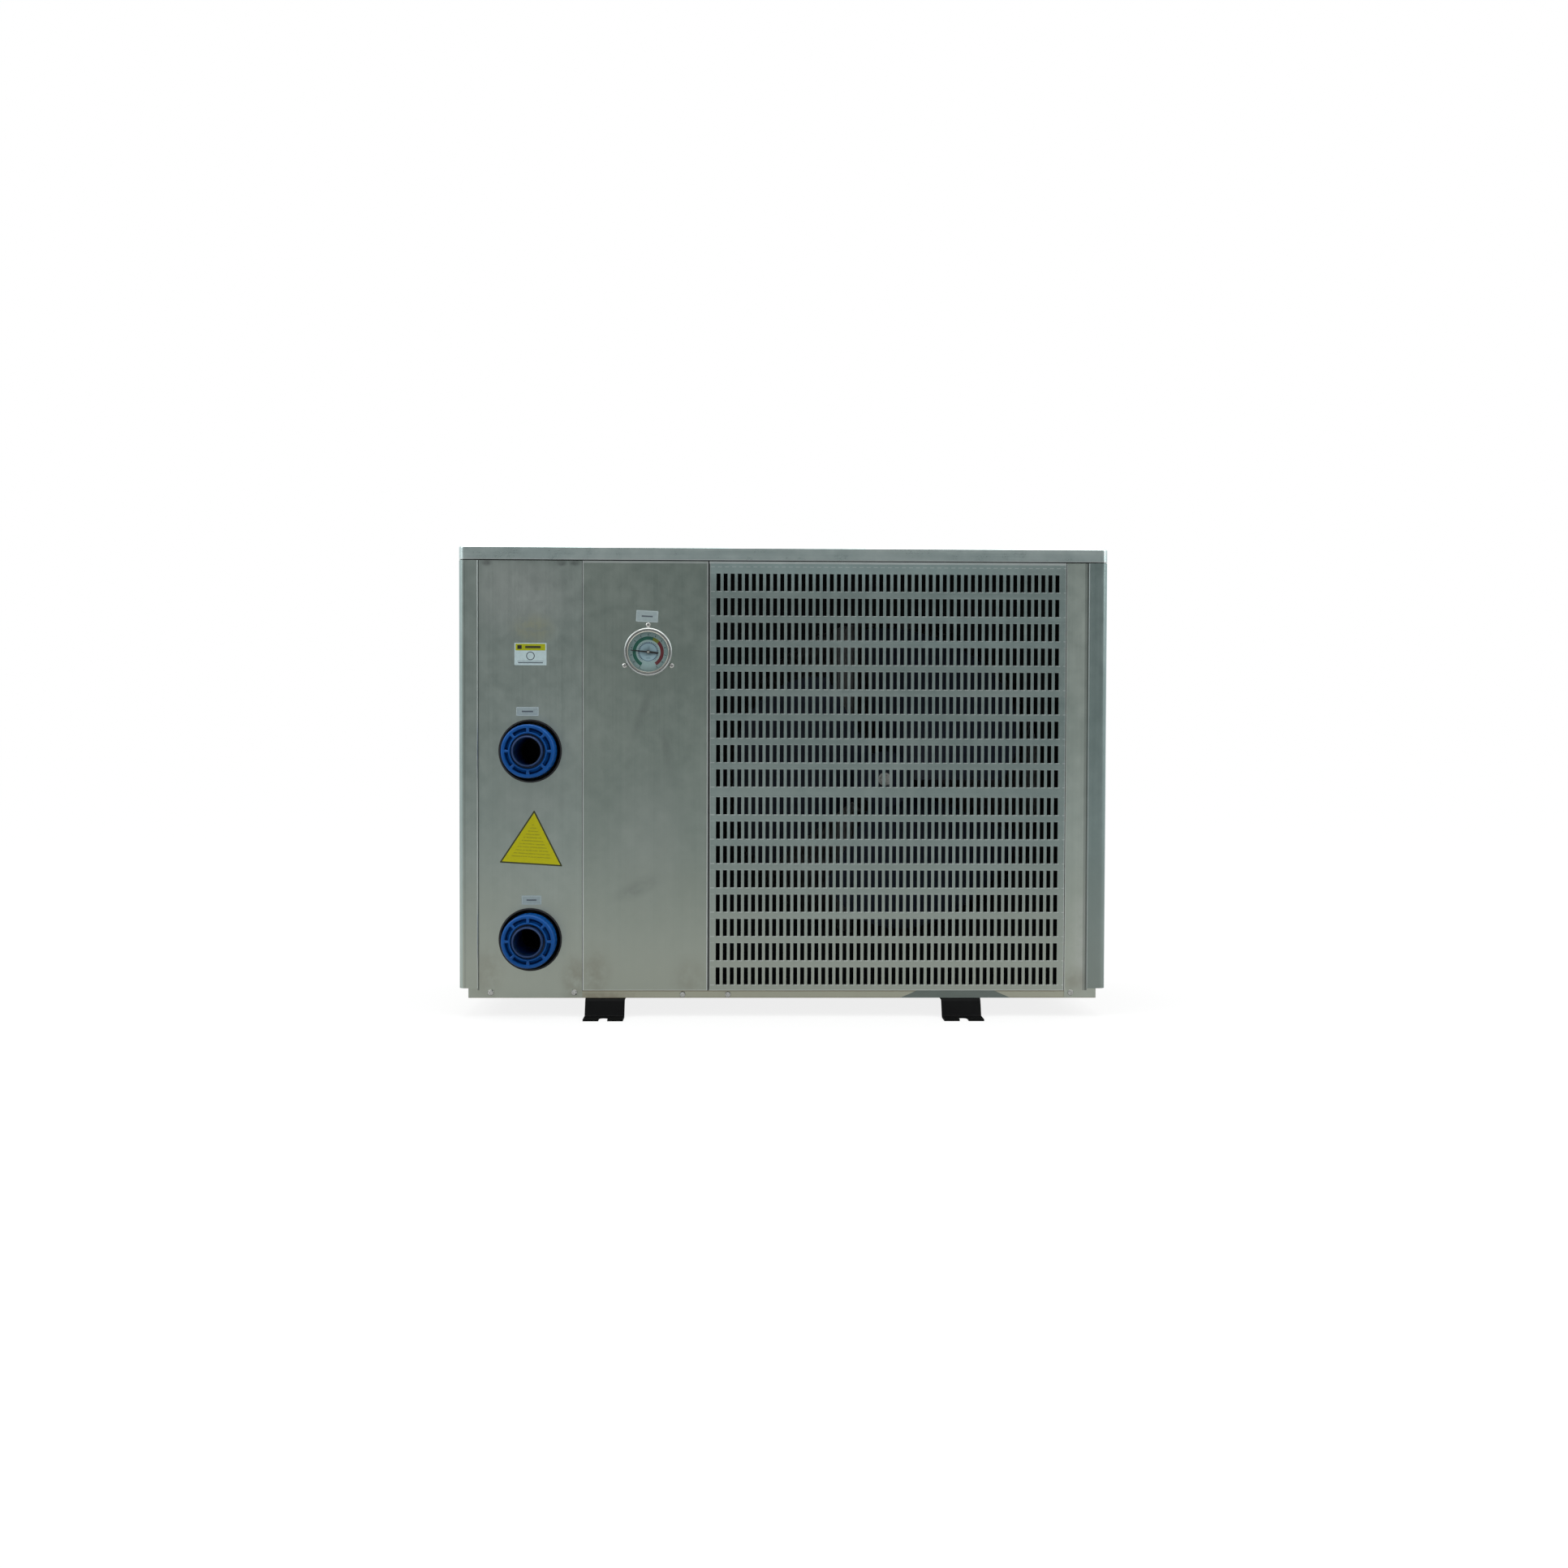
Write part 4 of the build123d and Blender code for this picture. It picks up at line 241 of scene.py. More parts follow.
def new_material(name: str) -> tuple[bpy.types.Material, Graph]:
    """An empty node material and its graph."""
    material = bpy.data.materials.new(name)
    material.use_nodes = True
    return material, Graph(material.node_tree)


# ------------------------------------------------------------------ finishes
class Brushing(Enum):
    """How coordinates are stretched so that noise runs along the brushed lines."""

    ACROSS = (3.0, 3.0, 420.0)
    UPRIGHT = (420.0, 420.0, 3.0)


@dataclass(frozen=True)
class Mark:
    """A stain, rub or smear on sheet metal, or a patch of painted highlight, in metres on the face."""

    x: float
    z: float
    wide: float
    high: float
    colour: Colour
    depth: float
    turn: float = 0.0
    even: bool = False


@dataclass(frozen=True)
class Line:
    """A crisp upright or level band on sheet metal, mostly painted light: a painted highlight along a bend or
    edge, or a painted shadow in a seam or beside a post.
    """

    low: Pair
    high: Pair
    colour: Colour
    depth: float


@dataclass(frozen=True)
class Patch:
    """A torn piece of film left on sheet metal, wider at its lower edge."""

    x: float
    low: float
    high: float
    half: float
    slant: float
    colour: Colour


@dataclass(frozen=True)
class SlotEdges:
    """Where punched slots stand, so that their lower edges catch the light."""

    left: float
    foot: float
    split: float
    shift: float
    wide: float = 6.5 * MM
    high: float = 28.0 * MM
    pitch: float = 11.44 * MM
    row: float = 39.5 * MM
    edge: float = 1.4 * MM


@dataclass(frozen=True)
class BrushedSheet:
    """Brushed stainless sheet with clouding, streaks and stains, painted highlights and painted shadows along
    bends, edges, seams and slots, and a painted floor reflection that makes it lighter and warmer towards the
    bottom.
    """

    name: str
    brushing: Brushing
    dark: Colour = shade(0.325, 0.385, 0.358)
    light: Colour = shade(0.445, 0.505, 0.470)
    # Colour of the painted floor reflection, blended in towards the bottom.
    warm: Colour = shade(0.490, 0.515, 0.440)
    roughness: float = 0.36
    streaks: float = 0.35
    marks: tuple[Mark, ...] = ()
    lines: tuple[Line, ...] = ()
    patch: Patch | None = None
    slots: SlotEdges | None = None

    def slot_edges(self, g: Graph, x: Wire, z: Wire) -> Wire:
        """Mask of the painted highlights along the edges under and over each slot.

        Args:
            g: the material's graph.
            x: coordinate across.
            z: coordinate up.

        Returns:
            1 just under a slot, less just over it, 0 elsewhere.
        """
        slots = self.slots
        across = g.math("FLOORED_MODULO", x - slots.left, slots.pitch) < slots.wide
        lifted = z - slots.foot - (z > slots.split) * slots.shift
        up = g.math("FLOORED_MODULO", lifted, slots.row)
        under = up > slots.row - slots.edge
        over = (up > slots.high) * (up < slots.high + slots.edge) * 0.35
        field = (z > slots.foot - 2 * slots.edge) * (x > slots.left)
        return across * field * (under + over)

    def material(self) -> bpy.types.Material:
        """Builds the material."""
        material, g = new_material(self.name)
        place = g.place()
        x, _, z = g.split(place)
        cloud = g.noise(place, 5.5, 4.0, 0.6)
        mottle = g.noise(place, 42.0, 5.0, 0.62)
        grain = g.noise(g.stretch(place, self.brushing.value), 1.0, 3.0, 0.6)
        bands = g.noise(g.stretch(place, [0.12 * v for v in self.brushing.value]), 1.0, 3.0, 0.6)
        tone = cloud * 0.9 + mottle * 0.55 + bands * self.streaks + grain * 0.22
        tone = tone - (0.45 + 0.275 + 0.5 * self.streaks + 0.11) + 0.5
        colour = g.blend(g.ease(tone, 0.12, 0.92), self.dark, self.light)
        # Painted floor reflection: the sheet turns lighter and warmer towards the bottom.
        low = g.ease(z + cloud * 0.16, 0.42, 0.10) * 0.75
        colour = g.blend(low, colour, self.warm)
        # Marks are stains and rubs; some are painted highlights.
        for mark in self.marks:
            mask = g.disc(x, z, (mark.x, mark.z), (mark.wide, mark.high), mark.turn)
            blend_weight = mask * mark.depth if mark.even else g.ease(mottle, 0.3, 0.62) * mask * mark.depth
            colour = g.blend(blend_weight, colour, mark.colour)
        # Lines are painted highlights on bends and edges, and painted shadows in seams and beside posts.
        for line in self.lines:
            blend_weight = g.box(x, z, line.low, line.high) * g.ease(cloud, 0.0, 0.6, 0.55, 1.0) * line.depth
            colour = g.blend(blend_weight, colour, line.colour)
        if self.patch:
            torn = abs(x - self.patch.x) + mottle * 0.006
            reach = self.patch.half + (self.patch.high - z) * self.patch.slant
            mask = (torn < reach) * (z > self.patch.low) * (z < self.patch.high)
            colour = g.blend(mask, colour, self.patch.colour)
        # Painted highlights on the slots' lower edges, fainter over them.
        if self.slots:
            colour = g.blend(self.slot_edges(g, x, z) * 0.45, colour, GLINT)
        rough = self.roughness + (mottle - 0.5) * 0.16 + (grain - 0.5) * 0.10
        waves = g.noise(place, 3.2, 1.5, 0.4)
        normal = g.bump(waves, 0.20, 0.004)
        normal = g.bump(mottle, 0.06, 0.0008, normal)
        normal = g.bump(grain, 0.10, 0.0003, normal)
        g.surface({"Base Color": colour, "Metallic": 1.0, "Roughness": rough, "Normal": normal})
        return material


@dataclass(frozen=True)
class SpangledZinc:
    """Galvanised sheet with its crystal pattern."""

    name: str
    tone: Colour = shade(0.52, 0.54, 0.55)

    def material(self) -> bpy.types.Material:
        """Builds the material."""
        material, g = new_material(self.name)
        place = g.place()
        spangle = g.split(g.cells(place, 90.0))[0]
        cloud = g.noise(place, 14.0)
        colour = g.blend(spangle * 0.6 + cloud * 0.4, toned(self.tone, 0.62), self.tone)
        rough = 0.38 + spangle * 0.16
        normal = g.bump(cloud, 0.08, 0.001)
        g.surface({"Base Color": colour, "Metallic": 1.0, "Roughness": rough, "Normal": normal})
        return material


@dataclass(frozen=True)
class PowderCoat:
    """Painted or powder-coated metal with orange peel."""

    name: str
    colour: Colour
    roughness: float = 0.45
    dust: float = 0.25
    sheen: float = 0.5

    def material(self) -> bpy.types.Material:
        """Builds the material."""
        material, g = new_material(self.name)
        place = g.place()
        peel = g.noise(place, 900.0, 2.0, 0.5)
        cloud = g.noise(place, 18.0, 4.0, 0.6)
        colour = g.blend(g.ease(cloud, 0.45, 0.8) * self.dust, self.colour, toned(self.colour, 1.0, 0.05))
        rough = self.roughness + (cloud - 0.5) * 0.22
        sockets = {"Base Color": colour, "Roughness": rough, "Specular IOR Level": self.sheen}
        g.surface(sockets | {"Normal": g.bump(peel, 0.12, 0.0004)})
        return material


@dataclass(frozen=True)
class MouldedPlastic:
    """Injection-moulded plastic with faint flow marks and fine grain."""

    name: str
    colour: Colour
    roughness: float = 0.35
    variation: float = 0.25
    sheen: float = 0.5

    def material(self) -> bpy.types.Material:
        """Builds the material."""
        material, g = new_material(self.name)
        place = g.place()
        flow = g.noise(g.stretch(place, (30.0, 30.0, 70.0)), 1.0, 3.0, 0.55)
        grain = g.noise(place, 1400.0, 2.0, 0.5)
        paler, deeper = toned(self.colour, 1.35, 0.006), toned(self.colour, 0.78)
        colour = g.blend(g.ease(flow, 0.25, 0.75), deeper, paler)
        colour = g.blend(1.0 - self.variation, colour, self.colour)
        rough = self.roughness + (flow - 0.5) * 0.14 + (grain - 0.5) * 0.05
        sockets = {"Base Color": colour, "Roughness": rough, "Specular IOR Level": self.sheen}
        g.surface(sockets | {"Normal": g.bump(grain, 0.05, 0.0002)})
        return material


@dataclass(frozen=True)
class Rubber:
    """Dull black rubber or foam with open grain."""

    name: str
    colour: Colour = shade(0.016, 0.016, 0.017)
    grain: float = 700.0

    def material(self) -> bpy.types.Material:
        """Builds the material."""
        material, g = new_material(self.name)
        place = g.place()
        pores = g.noise(place, self.grain, 3.0, 0.7)
        bloom = g.noise(place, 25.0, 4.0, 0.6)
        colour = g.blend(g.ease(bloom, 0.5, 0.85) * 0.5, self.colour, toned(self.colour, 2.2, 0.01))
        rough = 0.72 + (pores - 0.5) * 0.2
        g.surface({"Base Color": colour, "Roughness": rough, "Normal": g.bump(pores, 0.25, 0.0005)})
        return material


@dataclass(frozen=True)
class BrightMetal:
    """Bare, plated or polished metal with rubs and tarnish."""

    name: str
    colour: Colour
    tarnish: Colour
    roughness: float = 0.2
    spread: float = 0.35
    grain: float = 0.04

    def material(self) -> bpy.types.Material:
        """Builds the material."""
        material, g = new_material(self.name)
        place = g.place()
        cloud = g.noise(place, 60.0, 5.0, 0.65)
        rubs = g.noise(g.stretch(place, (300.0, 300.0, 1400.0)), 1.0, 2.0, 0.5)
        colour = g.blend(g.ease(cloud, 0.42, 0.8) * self.spread, self.colour, self.tarnish)
        rough = self.roughness + (cloud - 0.5) * self.spread * 0.4 + (rubs - 0.5) * self.grain * 2
        normal = g.bump(rubs, self.grain, 0.0002)
        g.surface({"Base Color": colour, "Metallic": 1.0, "Roughness": rough, "Normal": normal})
        return material


@dataclass(frozen=True)
class RolledRing:
    """Rolled ring: bright bead outside, groove painted dark as shade, warm lip round the window, and painted
    shade towards the bottom so that it is brightest on top.
    """

    name: str
    middle: Pair
    groove: Pair
    bead: Colour = shade(0.86, 0.88, 0.87)
    # Dark colour painted as shade in the groove and towards the ring's bottom.
    painted_shade: Colour = shade(0.15, 0.165, 0.16)
    lip: Colour = shade(0.80, 0.78, 0.68)

    def material(self) -> bpy.types.Material:
        """Builds the material."""
        material, g = new_material(self.name)
        place = g.place()
        x, _, z = g.split(place)
        across, up = x - self.middle[0], z - self.middle[1]
        away = g.math("SQRT", across * across + up * up)
        cloud = g.noise(place, 45.0, 3.0, 0.5)
        # The groove between lip and bead is painted dark, as shade.
        colour = g.blend(away > self.groove[0], self.lip, self.painted_shade)
        colour = g.blend(away > self.groove[1], colour, self.bead)
        # Painted shade: darker towards the ring's bottom, so that its top is brightest.
        lower = g.ease(up, self.groove[1], -0.6 * self.groove[1]) * 0.45 + cloud * 0.1
        colour = g.blend(lower, colour, self.painted_shade)
        g.surface({"Base Color": colour, "Metallic": 1.0, "Roughness": 0.26 + cloud * 0.06})
        return material


@dataclass(frozen=True)
class FinStock:
    """Aluminium fin stock, or a darker copy of it painted as the shade deep between the fins."""

    name: str
    colour: Colour

    def material(self) -> bpy.types.Material:
        """Builds the material."""
        material, g = new_material(self.name)
        place = g.place()
        _, _, z = g.split(place)
        cloud = g.noise(place, 9.0, 4.0, 0.6)
        dust = g.noise(place, 120.0, 4.0, 0.7)
        soiling = g.ease(cloud * 0.6 + dust * 0.4, 0.38, 0.72) * 0.7
        colour = g.blend(soiling, self.colour, toned(self.colour, 0.45))
        rows = g.ease(g.math("PINGPONG", z, 0.0127), 0.0, 0.0127)
        rough = 0.42 + rows * 0.1 + (dust - 0.5) * 0.2
        g.surface({"Base Color": colour, "Metallic": 0.9, "Roughness": rough})
        return material


@dataclass(frozen=True)
class ClearLens:
    """Thin clear window: see-through with a mirror-like skin."""

    name: str
    gloss: float = 0.03

    def material(self) -> bpy.types.Material:
        """Builds the material."""
        material, g = new_material(self.name)
        through = g.wire(g.add("ShaderNodeBsdfTransparent", None, {"Color": shade(0.98, 0.99, 0.99)}))
        skin = g.wire(g.add("ShaderNodeBsdfGlossy", None, {"Roughness": 0.04}))
        smear = g.noise(g.place(), 60.0, 4.0, 0.6)
        glancing = g.wire(g.add("ShaderNodeLayerWeight", None, {"Blend": 0.5}), "Facing")
        factor = glancing**4.0 * 0.6 + 0.02 + self.gloss * g.ease(smear, 0.4, 0.8)
        mixed = g.wire(g.add("ShaderNodeMixShader", None, {0: factor, 1: through, 2: skin}))
        g.add("ShaderNodeOutputMaterial", None, {"Surface": mixed})
        return material


@dataclass(frozen=True)
class Bar:
    """A printed block on a label, in metres from the label's middle."""

    x: float
    z: float
    wide: float
    high: float
    colour: Colour


@dataclass(frozen=True)
class LabelFilm:
    """Printed film: a ground colour, plain blocks and an optional ring sign."""

    name: str
    ground: Colour
    bars: tuple[Bar, ...] = ()
    ring: tuple[float, float, float] | None = None
    ink: Colour = shade(0.03, 0.035, 0.05)

    def material(self) -> bpy.types.Material:
        """Builds the material."""
        material, g = new_material(self.name)
        place = g.place()
        x, _, z = g.split(place)
        grime = g.noise(place, 160.0, 4.0, 0.65)
        colour = g.blend(g.ease(grime, 0.35, 0.75) * 0.5, self.ground, toned(self.ground, 0.8))
        for bar in self.bars:
            half_wide, half_high = bar.wide / 2, bar.high / 2
            low = (bar.x - half_wide, bar.z - half_high)
            high = (bar.x + half_wide, bar.z + half_high)
            colour = g.blend(g.box(x, z, low, high), colour, bar.colour)
        if self.ring:
            across, up, radius = self.ring
            away = g.math("SQRT", (x - across) * (x - across) + (z - up) * (z - up))
            colour = g.blend(abs(away - radius) < 0.0006, colour, self.ink)
        rough = 0.42 + (grime - 0.5) * 0.2
        sockets = {"Base Color": colour, "Roughness": rough, "Specular IOR Level": 0.3}
        g.surface(sockets | {"Normal": g.bump(grime, 0.08, 0.0003)})
        return material


@dataclass(frozen=True)
class DialPrint:
    """Pressure gauge face: coloured bands, ticks and an inner scale, round the dial's own middle."""

    name: str
    band_in: float
    band_out: float
    inner_ring: float
    dashes: int = 40
    ground: Colour = shade(0.34, 0.47, 0.47)
    green: Colour = shade(0.004, 0.110, 0.072)
    yellow: Colour = shade(0.180, 0.200, 0.010)
    red: Colour = shade(0.140, 0.008, 0.014)
    blue: Colour = shade(0.012, 0.045, 0.130)
    ink: Colour = shade(0.02, 0.03, 0.03)

    def material(self) -> bpy.types.Material:
        """Builds the material."""
        material, g = new_material(self.name)
        place = g.place()
        x, _, z = g.split(place)
        away = g.math("SQRT", x * x + z * z)
        # Clockwise from the bottom, 0 to 1 over the whole turn.
        turn = g.math("FRACT", g.math("ARCTAN2", x, z) / (2 * math.pi) + 0.5)
        in_band = (away > self.band_in) * (away < self.band_out)
        colour = g.blend(g.noise(place, 300.0) * 0.3, self.ground, shade(0.28, 0.38, 0.38))
        band = g.blend(turn > 0.555, self.green, self.yellow)
        band = g.blend(turn > 0.628, band, self.red)
        colour = g.blend(in_band * (turn > 0.078) * (turn < 0.912), colour, band)
        for count, depth, weight in ((12, 0.0034, 0.05), (60, 0.0016, 0.10)):
            step = g.math("FRACT", (turn - 0.083) * count * 1.2)
            near = g.math("MINIMUM", step, 1.0 - step) < weight
            outer = (away > self.band_out + 0.0006) * (away < self.band_out + 0.0006 + depth)
            colour = g.blend(near * outer * (turn > 0.075) * (turn < 0.92) * 0.8, colour, self.ink)
        step = g.math("FRACT", turn * self.dashes)
        near = g.math("MINIMUM", step, 1.0 - step) < 0.20
        inner = (away > self.inner_ring) * (away < self.inner_ring + 0.0024)
        colour = g.blend(near * inner * (turn > 0.1) * (turn < 0.9), colour, self.blue)
        badge = g.box(x, z, (-0.0034, -0.0104), (0.0034, -0.0092))
        colour = g.blend(badge * 0.7, colour, self.ink)
        colour = g.blend((abs(away - self.inner_ring) < 0.0004) * 0.9, colour, self.blue)
        colour = g.blend((away < self.inner_ring - 0.0004) * 0.35, colour, shade(0.30, 0.48, 0.66))
        g.surface({"Base Color": colour, "Roughness": 0.4 + g.noise(place, 90.0) * 0.1})
        return material


@dataclass(frozen=True)
class NeedlePaint:
    """Black needle paint with a bare metal hub at the pivot."""

    name: str
    pivot: Pair
    hub: float = 2.0 * MM

    def material(self) -> bpy.types.Material:
        """Builds the material."""
        material, g = new_material(self.name)
        place = g.place()
        x, _, z = g.split(place)
        across, up = x - self.pivot[0], z - self.pivot[1]
        bare = g.math("SQRT", across * across + up * up) < self.hub
        blend_weight = g.noise(place, 400.0)
        paint = g.blend(blend_weight * 0.4, shade(0.010, 0.011, 0.012), shade(0.024, 0.026, 0.028))
        colour = g.blend(bare, paint, shade(0.60, 0.58, 0.54))
        g.surface({"Base Color": colour, "Metallic": bare * 0.6, "Roughness": 0.36 + blend_weight * 0.1})
        return material


# ------------------------------------------------------------------ mesh helpers
def place_piece(
    name: str,
    mesh: bpy.types.Mesh,
    body: str,
    finish: bpy.types.Material,
    place: tuple[float, float, float] = (0.0, 0.0, 0.0),
    lean: float = 0.0,
) -> bpy.types.Object:
    """Makes an object of a mesh and ties it to its CAD body.

    Args:
        name: the piece's name.
        mesh: its mesh, about its place.
        body: CAD body that it rides on.
        finish: its material.
        place: where its own origin stands.
        lean: how far it is turned about Y, in degrees.

    Returns:
        The object.
    """
    piece = bpy.data.objects.new(name, mesh)
    bpy.context.scene.collection.objects.link(piece)
    mesh.materials.append(finish)
    piece.location = place
    piece.rotation_euler = (0.0, math.radians(lean), 0.0)
    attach(piece, body)
    log.info("made %s: %d faces", name, len(mesh.polygons))
    return piece


def mesh_from(name: str, points: list, faces: list, smooth: bool = True) -> bpy.types.Mesh:
    """A mesh with outward normals.

    Args:
        name: mesh name.
        points: vertex places.
        faces: vertex numbers of each face.
        smooth: whether faces shade smoothly.

    Returns:
        The mesh.
    """
    mesh = bpy.data.meshes.new(name)
    mesh.from_pydata(points, [], faces)
    work = bmesh.new()
    work.from_mesh(mesh)
    bmesh.ops.remove_doubles(work, verts=work.verts, dist=1e-7)
    bmesh.ops.recalc_face_normals(work, faces=work.faces)
    work.to_mesh(mesh)
    work.free()
    mesh.polygons.foreach_set("use_smooth", [smooth] * len(mesh.polygons))
    mesh.update()
    return mesh


def soften(piece: bpy.types.Object, width: float, segments: int = 3, angle: float = 30.0) -> None:
    """Rounds a piece's hard edges.

    Args:
        piece: the object.
        width: how wide the rounding is, in metres.
        segments: facets across it.
        angle: edges sharper than this are rounded, in degrees.
    """
    bevel = piece.modifiers.new("edge_rounding", "BEVEL")
    bevel.width = width
    bevel.segments = segments
    bevel.limit_method = "ANGLE"
    bevel.angle_limit = math.radians(angle)
    bevel.use_clamp_overlap = True
    weighted = piece.modifiers.new("flat_faces", "WEIGHTED_NORMAL")
    weighted.keep_sharp = True


@dataclass(frozen=True)
class Station:
    """One ring of a turned piece; sink moves it along Y in the pockets, rib moves it inward between ribs."""

    radius: float
    y: float
    sink: float = 0.0
    rib: float = 0.0


@dataclass(frozen=True)
class Turner:
    """Makes pieces turned about an axis along Y."""

    x: float
    z: float
    steps: int = 128
    sectors: int = 8
    web: float = 0.075
    slope: float = 0.012
    inside: int = 12

    def pocket(self, share: float) -> float:
        """How deep inside a pocket a share of a sector is, 0 on the web and 1 inside."""
        edge = min(share, 1.0 - share)
        return min(1.0, max(0.0, (edge - self.web) / self.slope))

    def angles(self, pockets: bool) -> list[Pair]:
        """Angles round the piece with the pocket share at each.

        Args:
            pockets: whether columns are added at the pocket ends.

        Returns:
            (angle, pocket share) pairs.
        """
        if not pockets:
            return [(2 * math.pi * i / self.steps, 0.0) for i in range(self.steps)]
        start = self.web + self.slope
        middle = [start + (1 - 2 * start) * i / self.inside for i in range(self.inside + 1)]
        shares = [0.0, self.web] + middle + [1 - self.web]
        found = []
        for sector in range(self.sectors):
            for share in shares:
                found.append((2 * math.pi * (sector + share) / self.sectors, self.pocket(share)))
        return found

    def turn(
        self, name: str, stations: Sequence[Station], pockets: bool = False, ribs: int = 0
    ) -> bpy.types.Mesh:
        """Sweeps the stations round the axis.

        Args:
            name: mesh name.
            stations: the outline, a closed loop.
            pockets: whether sinks are used.
            ribs: grip ribs round the outside.

        Returns:
            The mesh.
        """
        angles = self.angles(pockets)
        points, faces = [], []
        for angle, share in angles:
            for s in stations:
                grip = 0.5 - 0.5 * math.cos(ribs * angle) if ribs else 0.0
                radius = s.radius - s.rib * grip
                y = s.y + s.sink * share
                points.append((self.x + radius * math.cos(angle), y, self.z + radius * math.sin(angle)))
        count, rows = len(stations), len(angles)
        for i in range(rows):
            for j in range(count):
                k, after = (j + 1) % count, (i + 1) % rows
                faces.append((i * count + j, i * count + k, after * count + k, after * count + j))
        return mesh_from(name, points, faces)


# ------------------------------------------------------------------ studio
@dataclass(frozen=True)
class Softbox:
    """A soft area light."""

    name: str
    place: tuple[float, float, float]
    aim: tuple[float, float, float]
    wide: float
    high: float
    power: float
    colour: tuple[float, float, float] = (1.0, 1.0, 1.0)


@dataclass
class Studio:
    """Camera, lights, pale floor and surround."""

    eye: tuple[float, float, float] = (-0.061, -2.915, 0.444)
    aim: tuple[float, float, float] = (0.0, -0.215, 0.378)
    lens: float = 38.3
    roll: float = 0.18
    floor_reach: float = 40.0
    pale: Colour = shade(1.0, 1.0, 1.0)
    glow: float = 0.70
    boxes: tuple[Softbox, ...] = (
        Softbox("left_softbox", (-2.3, -1.3, 1.9), (-0.3, -0.2, 0.4), 1.0, 1.6, 13.0, (0.93, 0.98, 1.0)),
        Softbox("right_softbox", (2.3, -1.1, 1.7), (0.3, -0.2, 0.4), 0.8, 1.6, 11.0, (0.95, 0.99, 1.0)),
        Softbox("top_softbox", (0.0, -0.3, 2.6), (0.0, 0.0, 0.4), 2.2, 1.4, 24.0),
    )

    def build(self) -> None:
        """Sets everything up."""
        self.camera()
        self.surround()
        self.floor()
        for box in self.boxes:
            self.light(box)
        bpy.context.scene.view_settings.view_transform = "Standard"

    def camera(self) -> None:
        """Places the camera and makes it the scene's."""
        data = bpy.data.cameras.new("view_camera")
        data.lens = self.lens
        data.sensor_width = 36.0
        data.sensor_fit = "HORIZONTAL"
        data.clip_end = 200.0
        camera = bpy.data.objects.new("view_camera", data)
        bpy.context.scene.collection.objects.link(camera)
        camera.location = self.eye
        sight = Vector(self.aim) - Vector(self.eye)
        level = sight.to_track_quat("-Z", "Y").to_matrix()
        camera.rotation_euler = (level @ Matrix.Rotation(math.radians(self.roll), 3, "Z")).to_euler()
        bpy.context.scene.camera = camera

    def light(self, box: Softbox) -> None:
        """Adds one soft light."""
        data = bpy.data.lights.new(box.name, "AREA")
        data.shape = "RECTANGLE"
        data.size = box.wide
        data.size_y = box.high
        data.energy = box.power
        data.color = box.colour
        lamp = bpy.data.objects.new(box.name, data)
        bpy.context.scene.collection.objects.link(lamp)
        lamp.location = box.place
        sight = Vector(box.aim) - Vector(box.place)
        lamp.rotation_euler = sight.to_track_quat("-Z", "Y").to_euler()

    def surround(self) -> None:
        """A pale surround, dimmer low down in front where the room is, brighter overhead."""
        world = bpy.data.worlds.new("studio_surround")
        world.use_nodes = True
        bpy.context.scene.world = world
        g = Graph(world.node_tree)
        sight = g.wire(g.add("ShaderNodeTexCoord"), "Generated")
        _, y, z = g.split(sight)
        front = g.ease(y, -0.25, -0.85)
        above = g.ease(z, 0.05, 0.85)
        side = g.blend(above, shade(0.80, 0.84, 0.86), shade(1.25, 1.25, 1.25))
        room = g.blend(above, shade(0.165, 0.180, 0.180), shade(0.52, 0.54, 0.54))
        colour = g.blend(front, side, room)
        lit = g.wire(g.add("ShaderNodeBackground", None, {"Color": colour, "Strength": 1.0}))
        seen = g.wire(g.add("ShaderNodeBackground", None, {"Color": self.pale, "Strength": 1.0}))
        ray = g.wire(g.add("ShaderNodeLightPath"), "Is Camera Ray")
        mixed = g.wire(g.add("ShaderNodeMixShader", None, {0: ray, 1: lit, 2: seen}))
        g.add("ShaderNodeOutputWorld", None, {"Surface": mixed})

    def floor(self) -> None:
        """A wide pale floor just under the feet, lit from below so that shadows on it stay faint."""
        low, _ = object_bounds()
        reach, z = self.floor_reach, low[2] - 0.0005
        corners = [(-reach, -reach, z), (reach, -reach, z), (reach, reach, z), (-reach, reach, z)]
        mesh = bpy.data.meshes.new("studio_floor")
        mesh.from_pydata(corners, [], [(0, 1, 2, 3)])
        material, g = new_material("studio_floor")
        matt = g.wire(g.add("ShaderNodeBsdfDiffuse", None, {"Color": shade(0.52, 0.52, 0.515)}))
        lit = g.wire(g.add("ShaderNodeEmission", None, {"Color": self.pale, "Strength": 1.2}))
        seen = g.wire(g.add("ShaderNodeLightPath"), "Is Camera Ray")
        mixed = g.wire(g.add("ShaderNodeMixShader", None, {0: seen * self.glow, 1: matt, 2: lit}))
        g.add("ShaderNodeOutputMaterial", None, {"Surface": mixed})
        mesh.materials.append(material)
        floor = bpy.data.objects.new("studio_floor", mesh)
        bpy.context.scene.collection.objects.link(floor)
        floor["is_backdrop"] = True


# ------------------------------------------------------------------ shared finishes
BROWN = shade(0.20, 0.15, 0.10)
# Dark grey for soot stains and weld marks, and for painted shade in seams, beside posts and on the left
# post's rounded edge.
SOOT_AND_SHADE = shade(0.10, 0.11, 0.11)
BLACK = shade(0.02, 0.02, 0.02)
RUB = shade(0.62, 0.64, 0.62)
GLINT = shade(0.84, 0.88, 0.87)
# Pale cyan for painted highlights on the posts' rounded edges and along the grille's top.
CYAN = shade(0.56, 0.72, 0.72)
FILM = shade(0.215, 0.250, 0.232)
OCHRE = shade(0.42, 0.42, 0.22)

